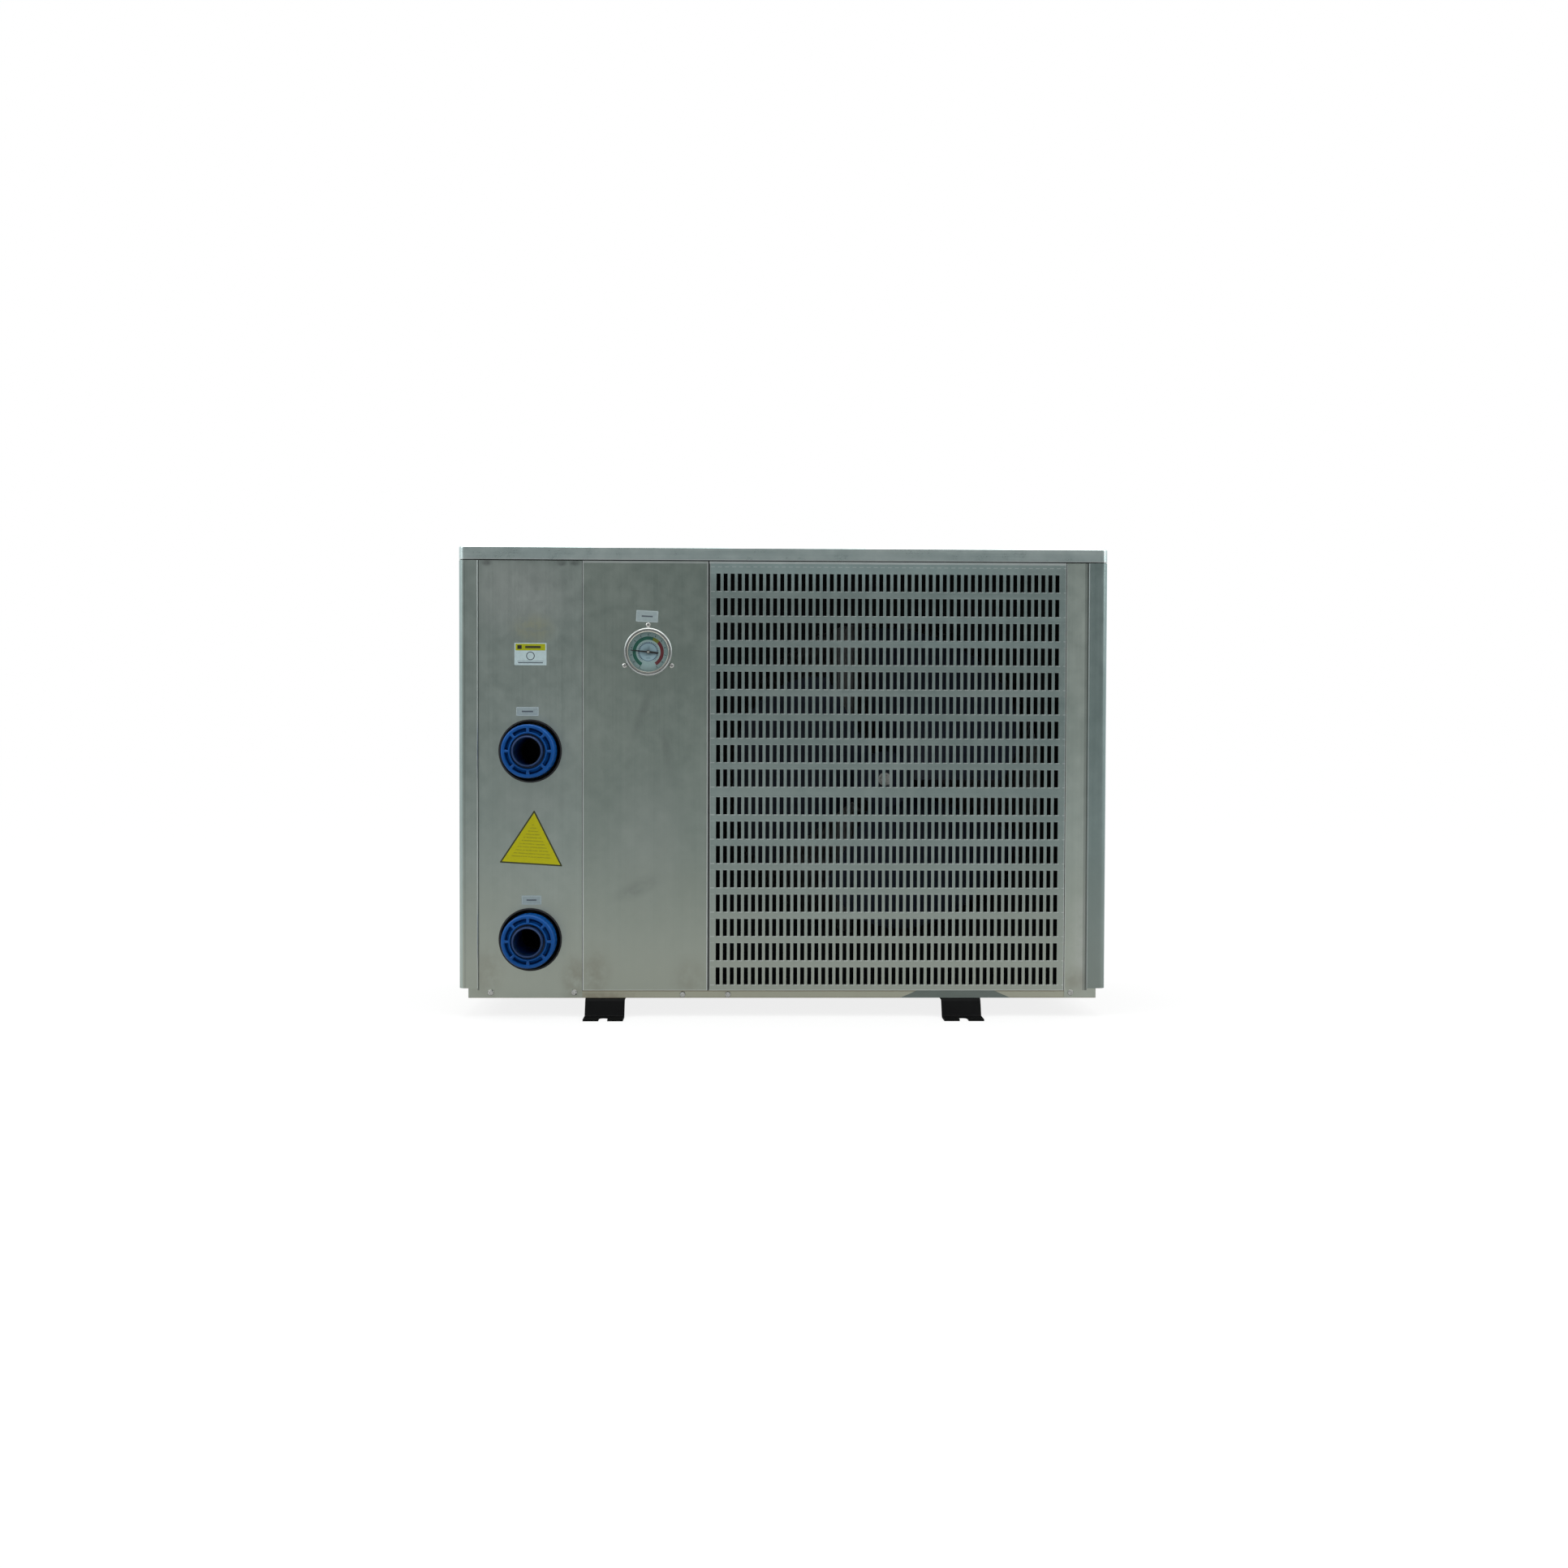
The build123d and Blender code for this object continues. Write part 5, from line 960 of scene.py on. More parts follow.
SLOT_FINISHES = {
    "stainless": BrushedSheet("stainless_sheet", Brushing.UPRIGHT),
    "foot_black": PowderCoat("foot_black_paint", shade(0.0028, 0.0030, 0.0032), 0.50, 0.03, 0.10),
    "foam_black": Rubber("gasket_foam"),
    "guard_black": PowderCoat("guard_black_coat", shade(0.012, 0.013, 0.014), 0.38),
    "galvanised": SpangledZinc("galvanised_sheet", shade(0.38, 0.395, 0.40)),
    "shroud_black": PowderCoat("shroud_black_paint", shade(0.0022, 0.0034, 0.0042), 0.65, 0.03, 0.07),
    "fan_blue": MouldedPlastic("fan_plastic", shade(0.008, 0.014, 0.028), 0.45, sheen=0.25),
    "bright_steel": BrightMetal("bright_steel", shade(0.60, 0.60, 0.58), shade(0.20, 0.19, 0.17), 0.24),
    "motor_black": PowderCoat("motor_paint", shade(0.02, 0.021, 0.022), 0.4),
    "fin_aluminium": FinStock("fin_stock", shade(0.62, 0.64, 0.65)),
    "copper": BrightMetal("copper_tube", shade(0.72, 0.36, 0.22), shade(0.25, 0.11, 0.06), 0.26, 0.6),
    "union_blue": MouldedPlastic("union_blue_plastic", shade(0.003, 0.078, 0.310), 0.32, sheen=0.20),
    "rubber_black": Rubber("black_rubber"),
    "vessel_plastic": MouldedPlastic("vessel_grey_plastic", shade(0.10, 0.105, 0.11), 0.4),
    "compressor_black": PowderCoat("compressor_paint", shade(0.013, 0.013, 0.014), 0.32),
    "moulded_grey": MouldedPlastic("grey_moulding", shade(0.20, 0.21, 0.215), 0.45),
    "brass": BrightMetal("brass", shade(0.70, 0.50, 0.22), shade(0.30, 0.18, 0.07), 0.25, 0.5),
    "gauge_chrome": BrightMetal(
        "gauge_bright_ring", shade(0.78, 0.79, 0.77), shade(0.55, 0.55, 0.50), 0.12, 0.1, 0.01
    ),
    "gauge_glass": ClearLens("gauge_window"),
    "dial_face": PowderCoat("dial_blank", shade(0.42, 0.50, 0.50), 0.4),
    "needle_black": PowderCoat("needle_black_paint", shade(0.012, 0.012, 0.013), 0.35, 0.0),
    "can_aluminium": BrightMetal("drawn_aluminium", shade(0.66, 0.67, 0.68), shade(0.35, 0.36, 0.37), 0.32),
    "gland_black": MouldedPlastic("gland_black_plastic", shade(0.012, 0.012, 0.013), 0.4),
    "label_film": LabelFilm("label_blank", shade(0.5, 0.55, 0.58)),
}


@dataclass
class FinishRack:
    """Makes each finish once and hands it out."""

    made: dict[str, bpy.types.Material] = field(default_factory=dict)

    def get(self, finish: object) -> bpy.types.Material:
        """The material of a finish."""
        if finish.name not in self.made:
            self.made[finish.name] = finish.material()
        return self.made[finish.name]

    def slot(self, name: str) -> bpy.types.Material:
        """The material of one of the record's slots."""
        return self.get(SLOT_FINISHES[name])

    def dress(self, node: str, finish: object | None = None) -> None:
        """Gives a CAD node its slot's finish, or a finish of its own.

        Args:
            node: CAD node name.
            finish: finish to use in place of the slot's.
        """
        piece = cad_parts[node]
        for held in piece.material_slots:
            name = held.material.name.split(".")[0]
            held.material = self.get(finish) if finish else self.slot(name)


# ------------------------------------------------------------------ cabinet
@dataclass
class Cabinet:
    """Sheet-metal panels, posts, cover and pan."""

    rack: FinishRack
    columns: int = 49
    rows: int = 17
    lower_rows: int = 8
    band: float = 5.5 * MM
    head_room: float = 19.5 * MM

    def build(self) -> None:
        """Dresses each sheet with its own brushing, clouding and stains, and with painted highlights, shadows
        and floor reflection.
        """
        for node, finish in self.sheets().items():
            self.rack.dress(node, finish)
            log.info("dressed %s", node)

    def sheets(self) -> dict[str, BrushedSheet]:
        """Each sheet's own finish, with stains and rubs where such a cabinet gets them, and painted
        highlights and shadows along its edges, seams and posts.
        """
        left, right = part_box("connection_panel")[0].x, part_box("right_front_strip")[1].x
        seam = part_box("service_panel")[0].x
        door_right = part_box("service_panel")[1].x
        foot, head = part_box("service_panel")[0].z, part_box("service_panel")[1].z
        gauge = (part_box("gauge_bezel")[0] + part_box("gauge_bezel")[1]) / 2
        union = (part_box("outlet_nut")[0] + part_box("outlet_nut")[1]) / 2
        across, upright = Brushing.ACROSS, Brushing.UPRIGHT
        tacks = [Mark(left + x, head - 0.004, 0.012, 0.007, SOOT_AND_SHADE, 0.8) for x in (0.03, 0.15, 0.172)]
        connection = (
            *tacks,
            Mark(union.x + 0.004, union.z + 0.198, 0.045, 0.034, OCHRE, 0.55),
            Mark(seam - 0.012, foot + 0.02, 0.030, 0.05, BROWN, 0.35),
            Mark(left + 0.03, foot + 0.03, 0.04, 0.06, BROWN, 0.22),
            Mark(union.x, union.z - 0.085, 0.09, 0.05, RUB, 0.12, even=True),
            Mark(union.x - 0.02, head - 0.05, 0.13, 0.10, RUB, 0.38, even=True),
        )
        service = (
            Mark(gauge.x - 0.01, gauge.z - 0.10, 0.012, 0.062, SOOT_AND_SHADE, 0.28, -20.0),
            Mark(gauge.x + 0.03, gauge.z - 0.16, 0.012, 0.05, SOOT_AND_SHADE, 0.25, 12.0),
            Mark(gauge.x - 0.015, 0.21, 0.06, 0.02, SOOT_AND_SHADE, 0.28, 25.0),
            Mark(seam + 0.02, foot + 0.03, 0.035, 0.06, BROWN, 0.3),
            Mark(door_right - 0.03, foot + 0.02, 0.04, 0.05, BROWN, 0.2),
            Mark(gauge.x, 0.30, 0.10, 0.16, RUB, 0.14, even=True),
        )
        strip = (
            Mark(right - 0.02, 0.12, 0.03, 0.12, RUB, 0.4),
            Mark(right - 0.035, 0.06, 0.03, 0.03, BROWN, 0.3),
        )
        # Painted highlight: a lighter cyan band along the grille's top, and a fainter one below it.
        grille = (
            Mark(0.10, head - 0.005, 0.50, 0.055, CYAN, 0.5, even=True),
            Mark(0.30, head - 0.10, 0.30, 0.10, CYAN, 0.16, even=True),
        )
        sill = (
            Mark(0.242, 0.0395, 0.026, 0.0032, BLACK, 1.0, -3.0),
            Mark(-0.3, 0.034, 0.1, 0.01, BROWN, 0.4),
        )
        left_post, right_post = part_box("front_left_post"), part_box("front_right_post")
        lip, strip_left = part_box("top_cover")[0].z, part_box("right_front_strip")[0].x
        grille_left, grille_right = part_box("fan_grille")[0].x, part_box("fan_grille")[1].x
        floor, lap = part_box("base_pan")[0].z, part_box("service_panel")[0].z
        tall = (foot, head)
        # Painted shadow beside the left post, and faint painted shade at the seam with the service panel.
        connection_lines = (
            self.upright(left_post[1].x - 0.001, left_post[1].x + 0.0016, tall, SOOT_AND_SHADE, 0.75),
            self.upright(seam - 0.0016, seam, tall, SOOT_AND_SHADE, 0.12),
        )
        # Painted highlights on the service panel's bent edges.
        service_lines = (
            self.upright(door_right - 0.0014, door_right, tall, GLINT, 0.8),
            self.upright(seam, seam + 0.0014, tall, GLINT, 0.85),
            self.level(foot, foot + 0.0012, GLINT, 0.4),
            self.level(head - 0.0036, head, GLINT, 0.5),
        )
        # Painted shadow in the gap by the service panel, then painted highlights on the grille's bent edges.
        grille_lines = (
            self.upright(grille_left, grille_left + 0.0013, tall, BLACK, 0.9),
            self.upright(grille_left + 0.0013, grille_left + 0.0022, tall, GLINT, 0.5),
            self.upright(grille_right - 0.0014, grille_right, tall, GLINT, 0.35),
            self.level(foot, foot + 0.0012, GLINT, 0.4),
            self.level(head - 0.0036, head, GLINT, 0.7),
        )
        # Painted highlight on the strip's left edge, and painted shadow, darkest nearest the post, beside the
        # right post.
        strip_lines = (
            self.upright(strip_left, strip_left + 0.0014, tall, GLINT, 0.35),
            self.upright(right_post[0].x - 0.0060, right_post[0].x + 0.001, tall, SOOT_AND_SHADE, 0.35),
            self.upright(right_post[0].x - 0.0022, right_post[0].x + 0.001, tall, SOOT_AND_SHADE, 0.6),
        )
        # Painted highlights on the left post's inner edge and rounded outer edge, and painted shade just
        # inside that rounded edge.
        left_lines = (
            self.upright(left_post[1].x - 0.0016, left_post[1].x, (0.0, 1.0), GLINT, 0.45),
            self.upright(left_post[0].x, left_post[0].x + 0.0060, (0.0, 1.0), CYAN, 0.35),
            self.upright(left_post[0].x + 0.0085, left_post[0].x + 0.0115, (0.0, 1.0), SOOT_AND_SHADE, 0.18),
        )
        # Painted highlights on the right post's inner edge and rounded outer edge.
        right_lines = (
            self.upright(right_post[0].x, right_post[0].x + 0.0016, (0.0, 1.0), GLINT, 0.3),
            self.upright(right_post[1].x - 0.0025, right_post[1].x, (0.0, 1.0), CYAN, 0.4),
        )
        # Painted highlight along the cover lip's lower edge.
        cover_lines = (self.level(lip, lip + 0.0016, GLINT, 0.6),)
        # Painted shadow just under the panels' lower edges, and a brown line along the pan's lowest edge.
        pan_lines = (
            self.level(lap - 0.0022, lap, BROWN, 0.55),
            self.level(floor, floor + 0.0012, BROWN, 0.5),
        )
        darker = {"dark": shade(0.275, 0.332, 0.300), "light": shade(0.385, 0.440, 0.400)}
        brighter = {"dark": shade(0.41, 0.475, 0.435), "light": shade(0.55, 0.61, 0.56)}
        cooler = {"dark": shade(0.28, 0.355, 0.345), "light": shade(0.39, 0.465, 0.445)}
        shaded = {
            "dark": shade(0.26, 0.335, 0.325),
            "light": shade(0.345, 0.42, 0.41),
            "warm": shade(0.28, 0.31, 0.28),
        }
        polished = {"dark": shade(0.58, 0.69, 0.68), "light": shade(0.74, 0.83, 0.81)}
        return {
            "connection_panel": BrushedSheet(
                "connection_sheet", upright, marks=connection, lines=connection_lines
            ),
            "service_panel": BrushedSheet(
                "service_sheet", upright, marks=service, lines=service_lines, **darker
            ),
            "fan_grille": BrushedSheet(
                "grille_sheet", across, streaks=0.5, marks=grille, lines=grille_lines,
                slots=self.slots(), **cooler
            ),
            "right_front_strip": BrushedSheet(
                "strip_sheet", upright, streaks=0.7, marks=strip, lines=strip_lines, **brighter
            ),
            "front_left_post": BrushedSheet("left_post_sheet", upright, streaks=0.6, lines=left_lines),
            "front_right_post": BrushedSheet(
                "right_post_sheet", upright, streaks=0.7, lines=right_lines, **shaded
            ),
            "top_cover": BrushedSheet(
                "cover_sheet", across, streaks=0.9, roughness=0.30, lines=cover_lines, **polished
            ),
            # The pan's warm colour is its painted floor reflection.
            "base_pan": BrushedSheet(
                "pan_sheet", across, warm=shade(0.54, 0.52, 0.40), streaks=0.6, marks=sill, lines=pan_lines,
                patch=Patch(0.2805, floor, lap, 0.0645, 2.3, FILM), **brighter
            ),
        }

    def slots(self) -> SlotEdges:
        """Where the grille's slots stand."""
        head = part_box("fan_grille")[1].z
        middle = (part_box("fan_rotor")[0].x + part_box("fan_rotor")[1].x) / 2
        run = (self.columns - 1) * SlotEdges.pitch + SlotEdges.wide
        foot = head - self.head_room - SlotEdges.high - (self.rows - 1) * SlotEdges.row - self.band
        split = foot + self.lower_rows * SlotEdges.row - 3.5 * MM
        return SlotEdges(middle - run / 2, foot, split, self.band)

    def upright(self, low: float, high: float, tall: Pair, colour: Colour, depth: float) -> Line:
        """An upright line between two places across."""
        return Line((low, tall[0]), (high, tall[1]), colour, depth)

    def level(self, low: float, high: float, colour: Colour, depth: float) -> Line:
        """A level line over the whole width, between two heights."""
        return Line((-1.0, low), (1.0, high), colour, depth)


# ------------------------------------------------------------------ water unions
@dataclass
class WaterUnion:
    """One water union: bright nut with pockets in its face, tube end and collar."""

    rack: FinishRack
    side: str
    pocket_depth: float = 12.0 * MM
    lip: float = 28.0 * MM
    pocket_in: float = 30.8 * MM
    pocket_out: float = 37.2 * MM
    thread: float = 34.0 * MM
    bore: float = 22.0 * MM
    tube: float = 25.0 * MM
    collar: float = 33.0 * MM

    def build(self) -> None:
        """Makes the nut and the tube end."""
        self.nut()
        self.tail()

    def turner(self) -> Turner:
        """Turning axis of this union."""
        low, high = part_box(f"{self.side}_nut")
        return Turner((low.x + high.x) / 2, (low.z + high.z) / 2)

    def nut(self) -> None:
        """Threaded nut with eight pockets in its face and grip ribs round it."""
        low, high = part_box(f"{self.side}_nut")
        front, back, outer = low.y, high.y, (high.x - low.x) / 2
        slope, depth = 0.3 * MM, self.pocket_depth
        stations = [
            Station(self.lip, front + 5 * MM),
            Station(self.lip, front + 0.5 * MM),
            Station(self.lip + 0.5 * MM, front),
            Station(self.pocket_in - slope, front),
            Station(self.pocket_in, front, 0.3 * MM),
            Station(self.pocket_in + slope, front, depth),
            Station(self.pocket_out - slope, front, depth),
            Station(self.pocket_out, front, 0.3 * MM),
            Station(self.pocket_out + slope, front),
            Station(outer - 2.6 * MM, front),
            Station(outer - 1.9 * MM, front + 0.15 * MM),
            Station(outer - 0.5 * MM, front + 1.5 * MM),
            Station(outer, front + 2.6 * MM),
            Station(outer, front + 5.0 * MM),
            Station(outer, front + 6.0 * MM, 0.0, 0.9 * MM),
            Station(outer, back - 2.0 * MM, 0.0, 0.9 * MM),
            Station(outer, back - 1.0 * MM),
            Station(outer - 0.8 * MM, back),
            Station(self.thread + 0.8 * MM, back),
            Station(self.thread, back - 0.8 * MM),
            Station(self.thread, front + 5 * MM),
        ]
        mesh = self.turner().turn(f"{self.side}_nut_body", stations, pockets=True, ribs=32)
        finish = self.rack.slot("union_blue")
        piece = place_piece(f"{self.side}_nut_body", mesh, f"{self.side}_ring", finish)
        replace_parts(piece, f"{self.side}_nut")

    def tail(self) -> None:
        """Tube end with a rounded rim, and the collar that the nut pulls on."""
        low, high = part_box(f"{self.side}_tailpiece")
        tip, root = low.y, high.y
        shoulder = root - 6.5 * MM
        stations = [
            Station(self.bore, root),
            Station(self.bore, tip + 0.4 * MM),
            Station(self.bore + 0.3 * MM, tip),
            Station(self.bore + 1.4 * MM, tip),
            Station(self.tube - 0.9 * MM, tip + 0.6 * MM),
            Station(self.tube, tip + 2.4 * MM),
            Station(self.tube, shoulder),
            Station(self.collar - 0.6 * MM, shoulder),
            Station(self.collar, shoulder + 0.6 * MM),
            Station(self.collar, root - 0.4 * MM),
            Station(self.collar - 0.4 * MM, root),
        ]
        mesh = self.turner().turn(f"{self.side}_tube_end", stations)
        plastic = MouldedPlastic("tube_end_plastic", shade(0.014, 0.040, 0.120), 0.32, sheen=0.35)
        finish = self.rack.get(plastic)
        piece = place_piece(f"{self.side}_tube_end", mesh, f"{self.side}_tail", finish)
        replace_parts(piece, f"{self.side}_tailpiece")
        soften(piece, 0.25 * MM, 2)


# ------------------------------------------------------------------ gauge
@dataclass
class PressureGauge:
    """Panel pressure gauge: double bright ring, printed dial and window."""

    rack: FinishRack
    window: float = 32.2 * MM
    step: float = 35.4 * MM
    band_in: float = 19.7 * MM
    band_out: float = 25.2 * MM
    inner_ring: float = 14.4 * MM

    def build(self) -> None:
        """Makes the ring, prints the dial and bares the needle's hub."""
        self.ring()
        self.dial()
        pivot = (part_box("gauge_dial")[0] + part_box("gauge_dial")[1]) / 2
        self.rack.dress("gauge_needle", NeedlePaint("needle_paint", (pivot.x, pivot.z)))

    def ring(self) -> None:
        """Rolled bright ring with a bead outside and a lip round the window."""
        low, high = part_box("gauge_bezel")
        outer, front, back = (high.x - low.x) / 2, low.y, high.y
        inner = self.window
        stations = [
            Station(inner, front + 2.0 * MM),
            Station(inner, front + 0.9 * MM),
            Station(inner + 0.25 * MM, front + 0.45 * MM),
            Station(inner + 0.9 * MM, front + 0.4 * MM),
            Station(inner + 1.3 * MM, front + 0.7 * MM),
            Station(inner + 1.6 * MM, front + 1.4 * MM),
            Station(self.step + 0.6 * MM, front + 1.5 * MM),
            Station(self.step + 0.9 * MM, front + 0.5 * MM),
            Station(self.step + 1.3 * MM, front + 0.1 * MM),
            Station(self.step + 1.9 * MM, front),
            Station(outer - 1.1 * MM, front + 0.3 * MM),
            Station(outer - 0.5 * MM, front + 1.1 * MM),
            Station(outer, front + 2.4 * MM),
            Station(outer, back),
            Station(self.step, back),
            Station(self.step, front + 2.0 * MM),
        ]
        mesh = Turner((low.x + high.x) / 2, (low.z + high.z) / 2, 160).turn("gauge_ring", stations)
        middle = ((low.x + high.x) / 2, (low.z + high.z) / 2)
        groove = (inner + 1.9 * MM, self.step + 0.9 * MM)
        finish = self.rack.get(RolledRing("gauge_ring_polish", middle, groove))
        piece = place_piece("gauge_ring", mesh, "cabinet", finish)
        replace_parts(piece, "gauge_bezel")

    def dial(self) -> None:
        """Round plate at its own middle, so that its print is centred."""
        low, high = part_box("gauge_dial")
        middle = (low + high) / 2
        radius = (high.x - low.x) / 2
        half = 0.5 * MM
        stations = [
            Station(0.05 * MM, -half),
            Station(radius - 0.2 * MM, -half),
            Station(radius, -half + 0.2 * MM),
            Station(radius, half),
            Station(0.05 * MM, half),
        ]
        mesh = Turner(0.0, 0.0, 96).turn("gauge_dial_plate", stations)
        finish = self.rack.get(DialPrint("dial_print", self.band_in, self.band_out, self.inner_ring))
        place = (middle.x, high.y - half, middle.z)
        piece = place_piece("gauge_dial_plate", mesh, "cabinet", finish, place)
        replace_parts(piece, "gauge_dial")


# ------------------------------------------------------------------ labels
@dataclass(frozen=True)
class Label:
    """A stuck-on film label without words."""

    name: str
    x: float
    z: float
    wide: float
    high: float
    face: float
    film: LabelFilm
    turn: float = 0.0
    corner: float = 1.0 * MM
    thick: float = 0.3 * MM

    def outline(self) -> list[Pair]:
        """Rounded rectangle about the middle."""
        points = []
        for i, (sx, sz) in enumerate(((1, 1), (-1, 1), (-1, -1), (1, -1))):
            cx = sx * (self.wide / 2 - self.corner)
            cz = sz * (self.high / 2 - self.corner)
            for k in range(5):
                a = math.radians(90 * i + 22.5 * k)
                points.append((cx + self.corner * math.cos(a), cz + self.corner * math.sin(a)))
        return points

    def build(self, rack: FinishRack) -> bpy.types.Object:
        """Makes the label.

        Args:
            rack: where its finish comes from.

        Returns:
            The piece.
        """
        outline = self.outline()
        count = len(outline)
        points = [(x, 0.0, z) for x, z in outline] + [(x, -self.thick, z) for x, z in outline]
        faces = [tuple(range(count)), tuple(range(2 * count - 1, count - 1, -1))]
        for i in range(count):
            k = (i + 1) % count
            faces.append((i, k, count + k, count + i))
        mesh = mesh_from(self.name, points, faces, smooth=False)
        place = (self.x, self.face, self.z)
        return place_piece(self.name, mesh, "cabinet", rack.get(self.film), place, self.turn)


@dataclass(frozen=True)
class TriangleLabel(Label):
    """A three-cornered label, point up."""

    def outline(self) -> list[Pair]:
        """Triangle with rounded corners about its middle."""
        radius = self.wide / math.sqrt(3)
        points = []
        for i in range(3):
            middle = math.radians(90 + 120 * i)
            reach = radius - 2 * self.corner
            cx, cz = reach * math.cos(middle), reach * math.sin(middle)
            for k in range(7):
                a = middle + math.radians(-60 + 20 * k)
                points.append((cx + self.corner * math.cos(a), cz + self.corner * math.sin(a)))
        return points


@dataclass(frozen=True)
class TriangleFilm:
    """Yellow film with a dark line just inside its three edges."""

    name: str
    side: float
    ground: Colour = shade(0.50, 0.47, 0.004)
    ink: Colour = shade(0.05, 0.055, 0.02)

    def material(self) -> bpy.types.Material:
        """Builds the material."""
        material, g = new_material(self.name)
        place = g.place()
        x, _, z = g.split(place)
        grime = g.noise(place, 130.0, 4.0, 0.65)
        colour = g.blend(g.ease(grime, 0.35, 0.75) * 0.4, self.ground, shade(0.42, 0.40, 0.006))
        inside = self.side / (2 * math.sqrt(3))
        reach = None
        for turn in (-90.0, 30.0, 150.0):
            c, s = math.cos(math.radians(turn)), math.sin(math.radians(turn))
            away = x * c + z * s
            reach = away if reach is None else g.math("MAXIMUM", reach, away)
        colour = g.blend(reach > inside - 0.0024, colour, self.ink)
        rows = g.math("FRACT", (z + 0.03) / 0.0052)
        line = (rows > 0.30) * (rows < 0.62) * (reach < inside - 0.010) * (g.noise(place, 420.0) > 0.42)
        colour = g.blend(line * 0.35, colour, self.ink)
        rough = 0.4 + (grime - 0.5) * 0.2
        sockets = {"Base Color": colour, "Roughness": rough, "Specular IOR Level": 0.25}
        g.surface(sockets | {"Normal": g.bump(grime, 0.08, 0.0003)})
        return material


@dataclass
class LabelSet:
    """The five wordless labels on the front."""

    rack: FinishRack
    white: Colour = shade(0.33, 0.40, 0.41)
    grey: Colour = shade(0.10, 0.12, 0.14)
    edge: Colour = shade(0.50, 0.58, 0.58)
    side: float = 0.102

    def plain(self, name: str, x: float, z: float, size: Pair, face: float, turn: float = 0.0) -> Label:
        """A small label with a pale border and one printed bar.

        Args:
            name: the label's name.
            x: middle across.
            z: middle up.
            size: width and height.
            face: where the sheet's face is, along Y.
            turn: how far it leans, in degrees.

        Returns:
            The label.
        """
        wide, high = size
        bars = (*self.frame_bars(wide, high, self.edge), Bar(0.0, 0.0, wide * 0.5, 0.0024, self.grey))
        film = LabelFilm(f"{name}_film", self.white, bars)
        return Label(name, x, z, wide, high, face, film, turn)

    def build(self) -> None:
        """Places the labels round the unions and the gauge."""
        outlet = (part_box("outlet_nut")[0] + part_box("outlet_nut")[1]) / 2
        inlet = (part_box("inlet_nut")[0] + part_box("inlet_nut")[1]) / 2
        gauge = (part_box("gauge_bezel")[0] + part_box("gauge_bezel")[1]) / 2
        fixed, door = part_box("connection_panel")[0].y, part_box("service_panel")[0].y
        grey = self.grey
        yellow = shade(0.36, 0.38, 0.006)
        header = LabelFilm(
            "notice_film",
            shade(0.50, 0.62, 0.64),
            (
                Bar(0.0, 0.0111, 0.0480, 0.0108, yellow),
                Bar(-0.0175, 0.0112, 0.0070, 0.0062, shade(0.02, 0.02, 0.02)),
                Bar(0.0040, 0.0112, 0.0250, 0.0040, shade(0.05, 0.05, 0.02)),
                Bar(0.0, -0.0114, 0.0420, 0.0005, grey),
                Bar(0.0, -0.0140, 0.0400, 0.0018, grey),
            ),
            ring=(0.0, -0.0030, 0.0062),
        )
        labels = [
            self.plain("outlet_label", outlet.x - 0.0044, outlet.z + 0.064, (0.0364, 0.0146), fixed),
            self.plain("inlet_label", inlet.x + 0.002, inlet.z + 0.064, (0.032, 0.015), fixed),
            self.plain("gauge_label", gauge.x - 0.0018, gauge.z + 0.0576, (0.0356, 0.0187), door, 2.7),
            Label("notice_label", outlet.x + 0.0005, outlet.z + 0.1565, 0.0516, 0.036, fixed, header),
            TriangleLabel(
                "triangle_label", inlet.x + 0.003, inlet.z + 0.151, self.side, self.side * 0.87, fixed,
                TriangleFilm("triangle_film", self.side), 3.5, 1.0 * MM,
            ),
        ]
        for label in labels:
            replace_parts(label.build(self.rack), "label_plates")

    def frame_bars(self, wide: float, high: float, ink: Colour) -> tuple[Bar, ...]:
        """Thin printed border just inside a label's edge."""
        line = 0.0006
        across, up = wide - 0.002, high - 0.002
        return (
            Bar(0.0, up / 2, across, line, ink),
            Bar(0.0, -up / 2, across, line, ink),
            Bar(across / 2, 0.0, line, up, ink),
            Bar(-across / 2, 0.0, line, up, ink),
        )


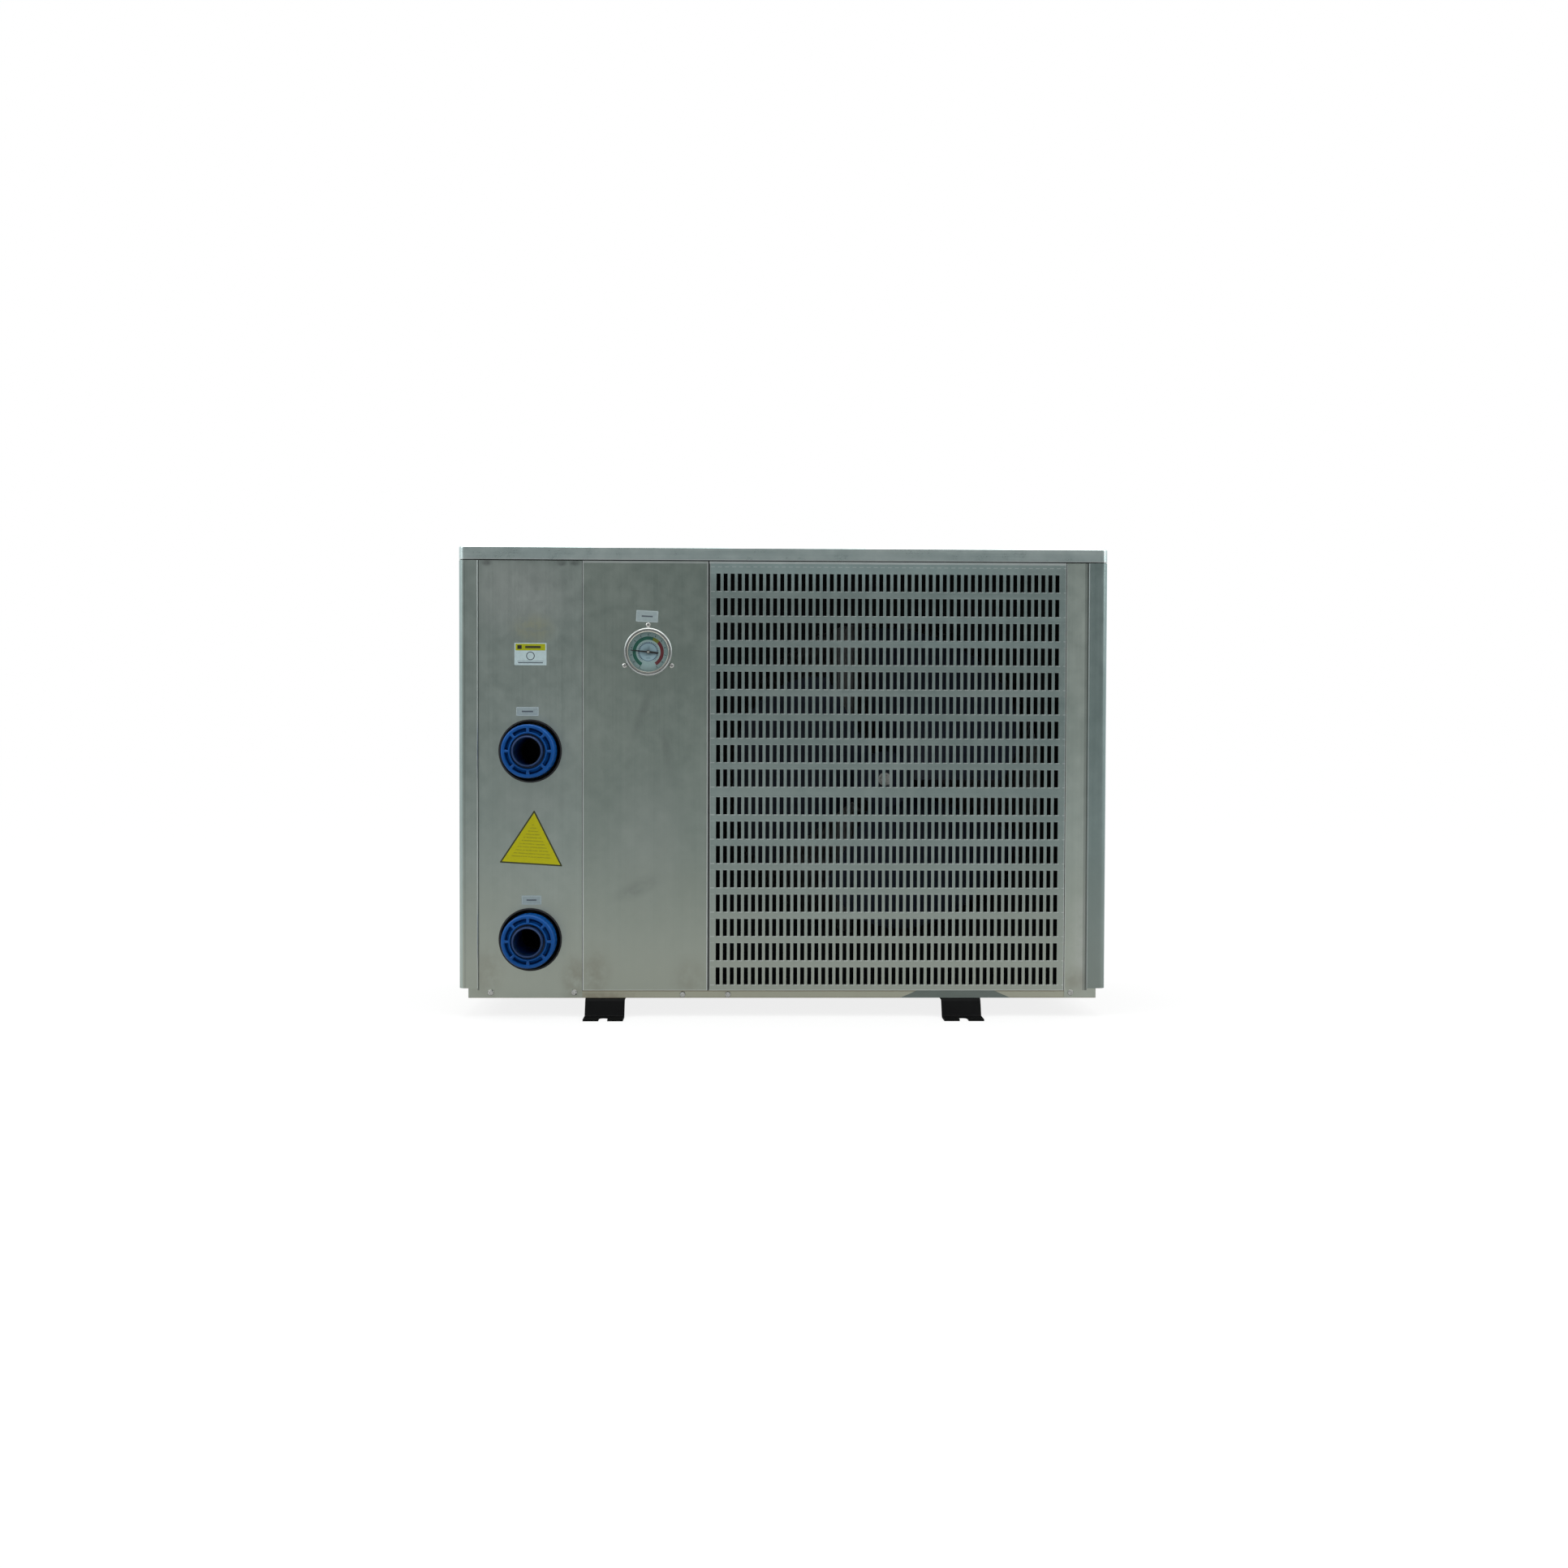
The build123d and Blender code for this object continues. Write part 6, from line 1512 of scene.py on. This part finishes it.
# ------------------------------------------------------------------ air coil
@dataclass
class AirCoil:
    """L-shaped fin pack: hundreds of thin fins over a darker core, a sheet that stands in for the shade deep
    between them.
    """

    rack: FinishRack
    thickness: float = 40.0 * MM
    bend: float = 60.0 * MM
    pitch: float = 2.1 * MM
    fin: float = 0.22 * MM
    setback: float = 6.0 * MM

    def build(self) -> None:
        """Makes fins, and the darker core that stands in for shade."""
        low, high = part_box("coil_fins")
        bright = self.rack.slot("fin_aluminium")
        fins = place_piece("coil_fin_pack", self.fins(low, high), "cabinet", bright)
        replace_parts(fins, "coil_fins")
        # Darker fin stock for the core: painted shade deep between the fins.
        dark = self.rack.get(FinStock("fin_gaps", shade(0.24, 0.25, 0.26)))
        core = place_piece("coil_fin_shade_core", self.core(low, high), "cabinet", dark)
        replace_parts(core, "coil_fins")

    def runs(self, low: Vector, high: Vector) -> list[tuple[Vector, Vector]]:
        """Where each fin stands.

        Args:
            low: lowest corner of the pack.
            high: highest corner of the pack.

        Returns:
            Middle of each fin's inner edge and its outward direction, in plan.
        """
        centre = Vector((high.x - self.bend, high.y - self.bend))
        inner = self.bend - self.thickness
        found = []
        x = low.x + self.fin
        while x < centre.x:
            found.append((Vector((x, high.y - self.thickness)), Vector((0.0, 1.0))))
            x += self.pitch
        arc = 0.5 * math.pi * (self.bend - self.thickness / 2)
        count = round(arc / self.pitch)
        for i in range(count):
            a = math.pi / 2 * (1 - i / count)
            out = Vector((math.cos(a), math.sin(a)))
            found.append((centre + inner * out, out))
        y = centre.y
        while y > low.y + self.fin:
            found.append((Vector((high.x - self.thickness, y)), Vector((1.0, 0.0))))
            y -= self.pitch
        return found

    def fins(self, low: Vector, high: Vector) -> bpy.types.Mesh:
        """Thin upright plates."""
        points, faces = [], []
        for root, out in self.runs(low, high):
            across = Vector((-out.y, out.x)) * self.fin / 2
            tip = root + out * self.thickness
            base = len(points)
            for z in (low.z, high.z):
                for corner in (root - across, root + across, tip + across, tip - across):
                    points.append((corner.x, corner.y, z))
            for quad in ((0, 1, 2, 3), (7, 6, 5, 4), (0, 4, 5, 1), (1, 5, 6, 2), (2, 6, 7, 3), (3, 7, 4, 0)):
                faces.append(tuple(base + q for q in quad))
        return mesh_from("coil_fin_pack", points, faces, smooth=False)

    def core(self, low: Vector, high: Vector) -> bpy.types.Mesh:
        """A dark sheet through the pack's depth between the fins, set back from both faces, standing in for
        the shade deep in the pack.
        """
        depths = (self.setback, self.thickness - self.setback)
        levels = (low.z + 1.0 * MM, high.z - 1.0 * MM)
        runs = self.runs(low, high)
        plan = [root + out * depth for root, out in runs for depth in depths]
        points = [(p.x, p.y, z) for p in plan for z in levels]
        faces = []
        for a in range(0, 4 * (len(runs) - 1), 4):
            b = a + 4
            faces.append((a, a + 1, b + 1, b))
            faces.append((a + 2, b + 2, b + 3, a + 3))
            faces.append((a, b, b + 2, a + 2))
            faces.append((a + 1, a + 3, b + 3, b + 1))
        last = 4 * (len(runs) - 1)
        faces += [(0, 2, 3, 1), (last, last + 1, last + 3, last + 2)]
        return mesh_from("coil_fin_shade_core", points, faces, smooth=False)


# ------------------------------------------------------------------ main
def main() -> None:
    """Builds and dresses the whole unit."""
    logging.basicConfig(level=logging.INFO, format="%(name)s: %(message)s")
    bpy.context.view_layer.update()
    Studio().build()
    rack = FinishRack()
    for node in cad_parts:
        rack.dress(node)
    log.info("dressed %d CAD nodes", len(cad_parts))
    Cabinet(rack).build()
    for side in ("outlet", "inlet"):
        WaterUnion(rack, side).build()
    PressureGauge(rack).build()
    LabelSet(rack).build()
    AirCoil(rack).build()


if __name__ == "__main__":
    main()
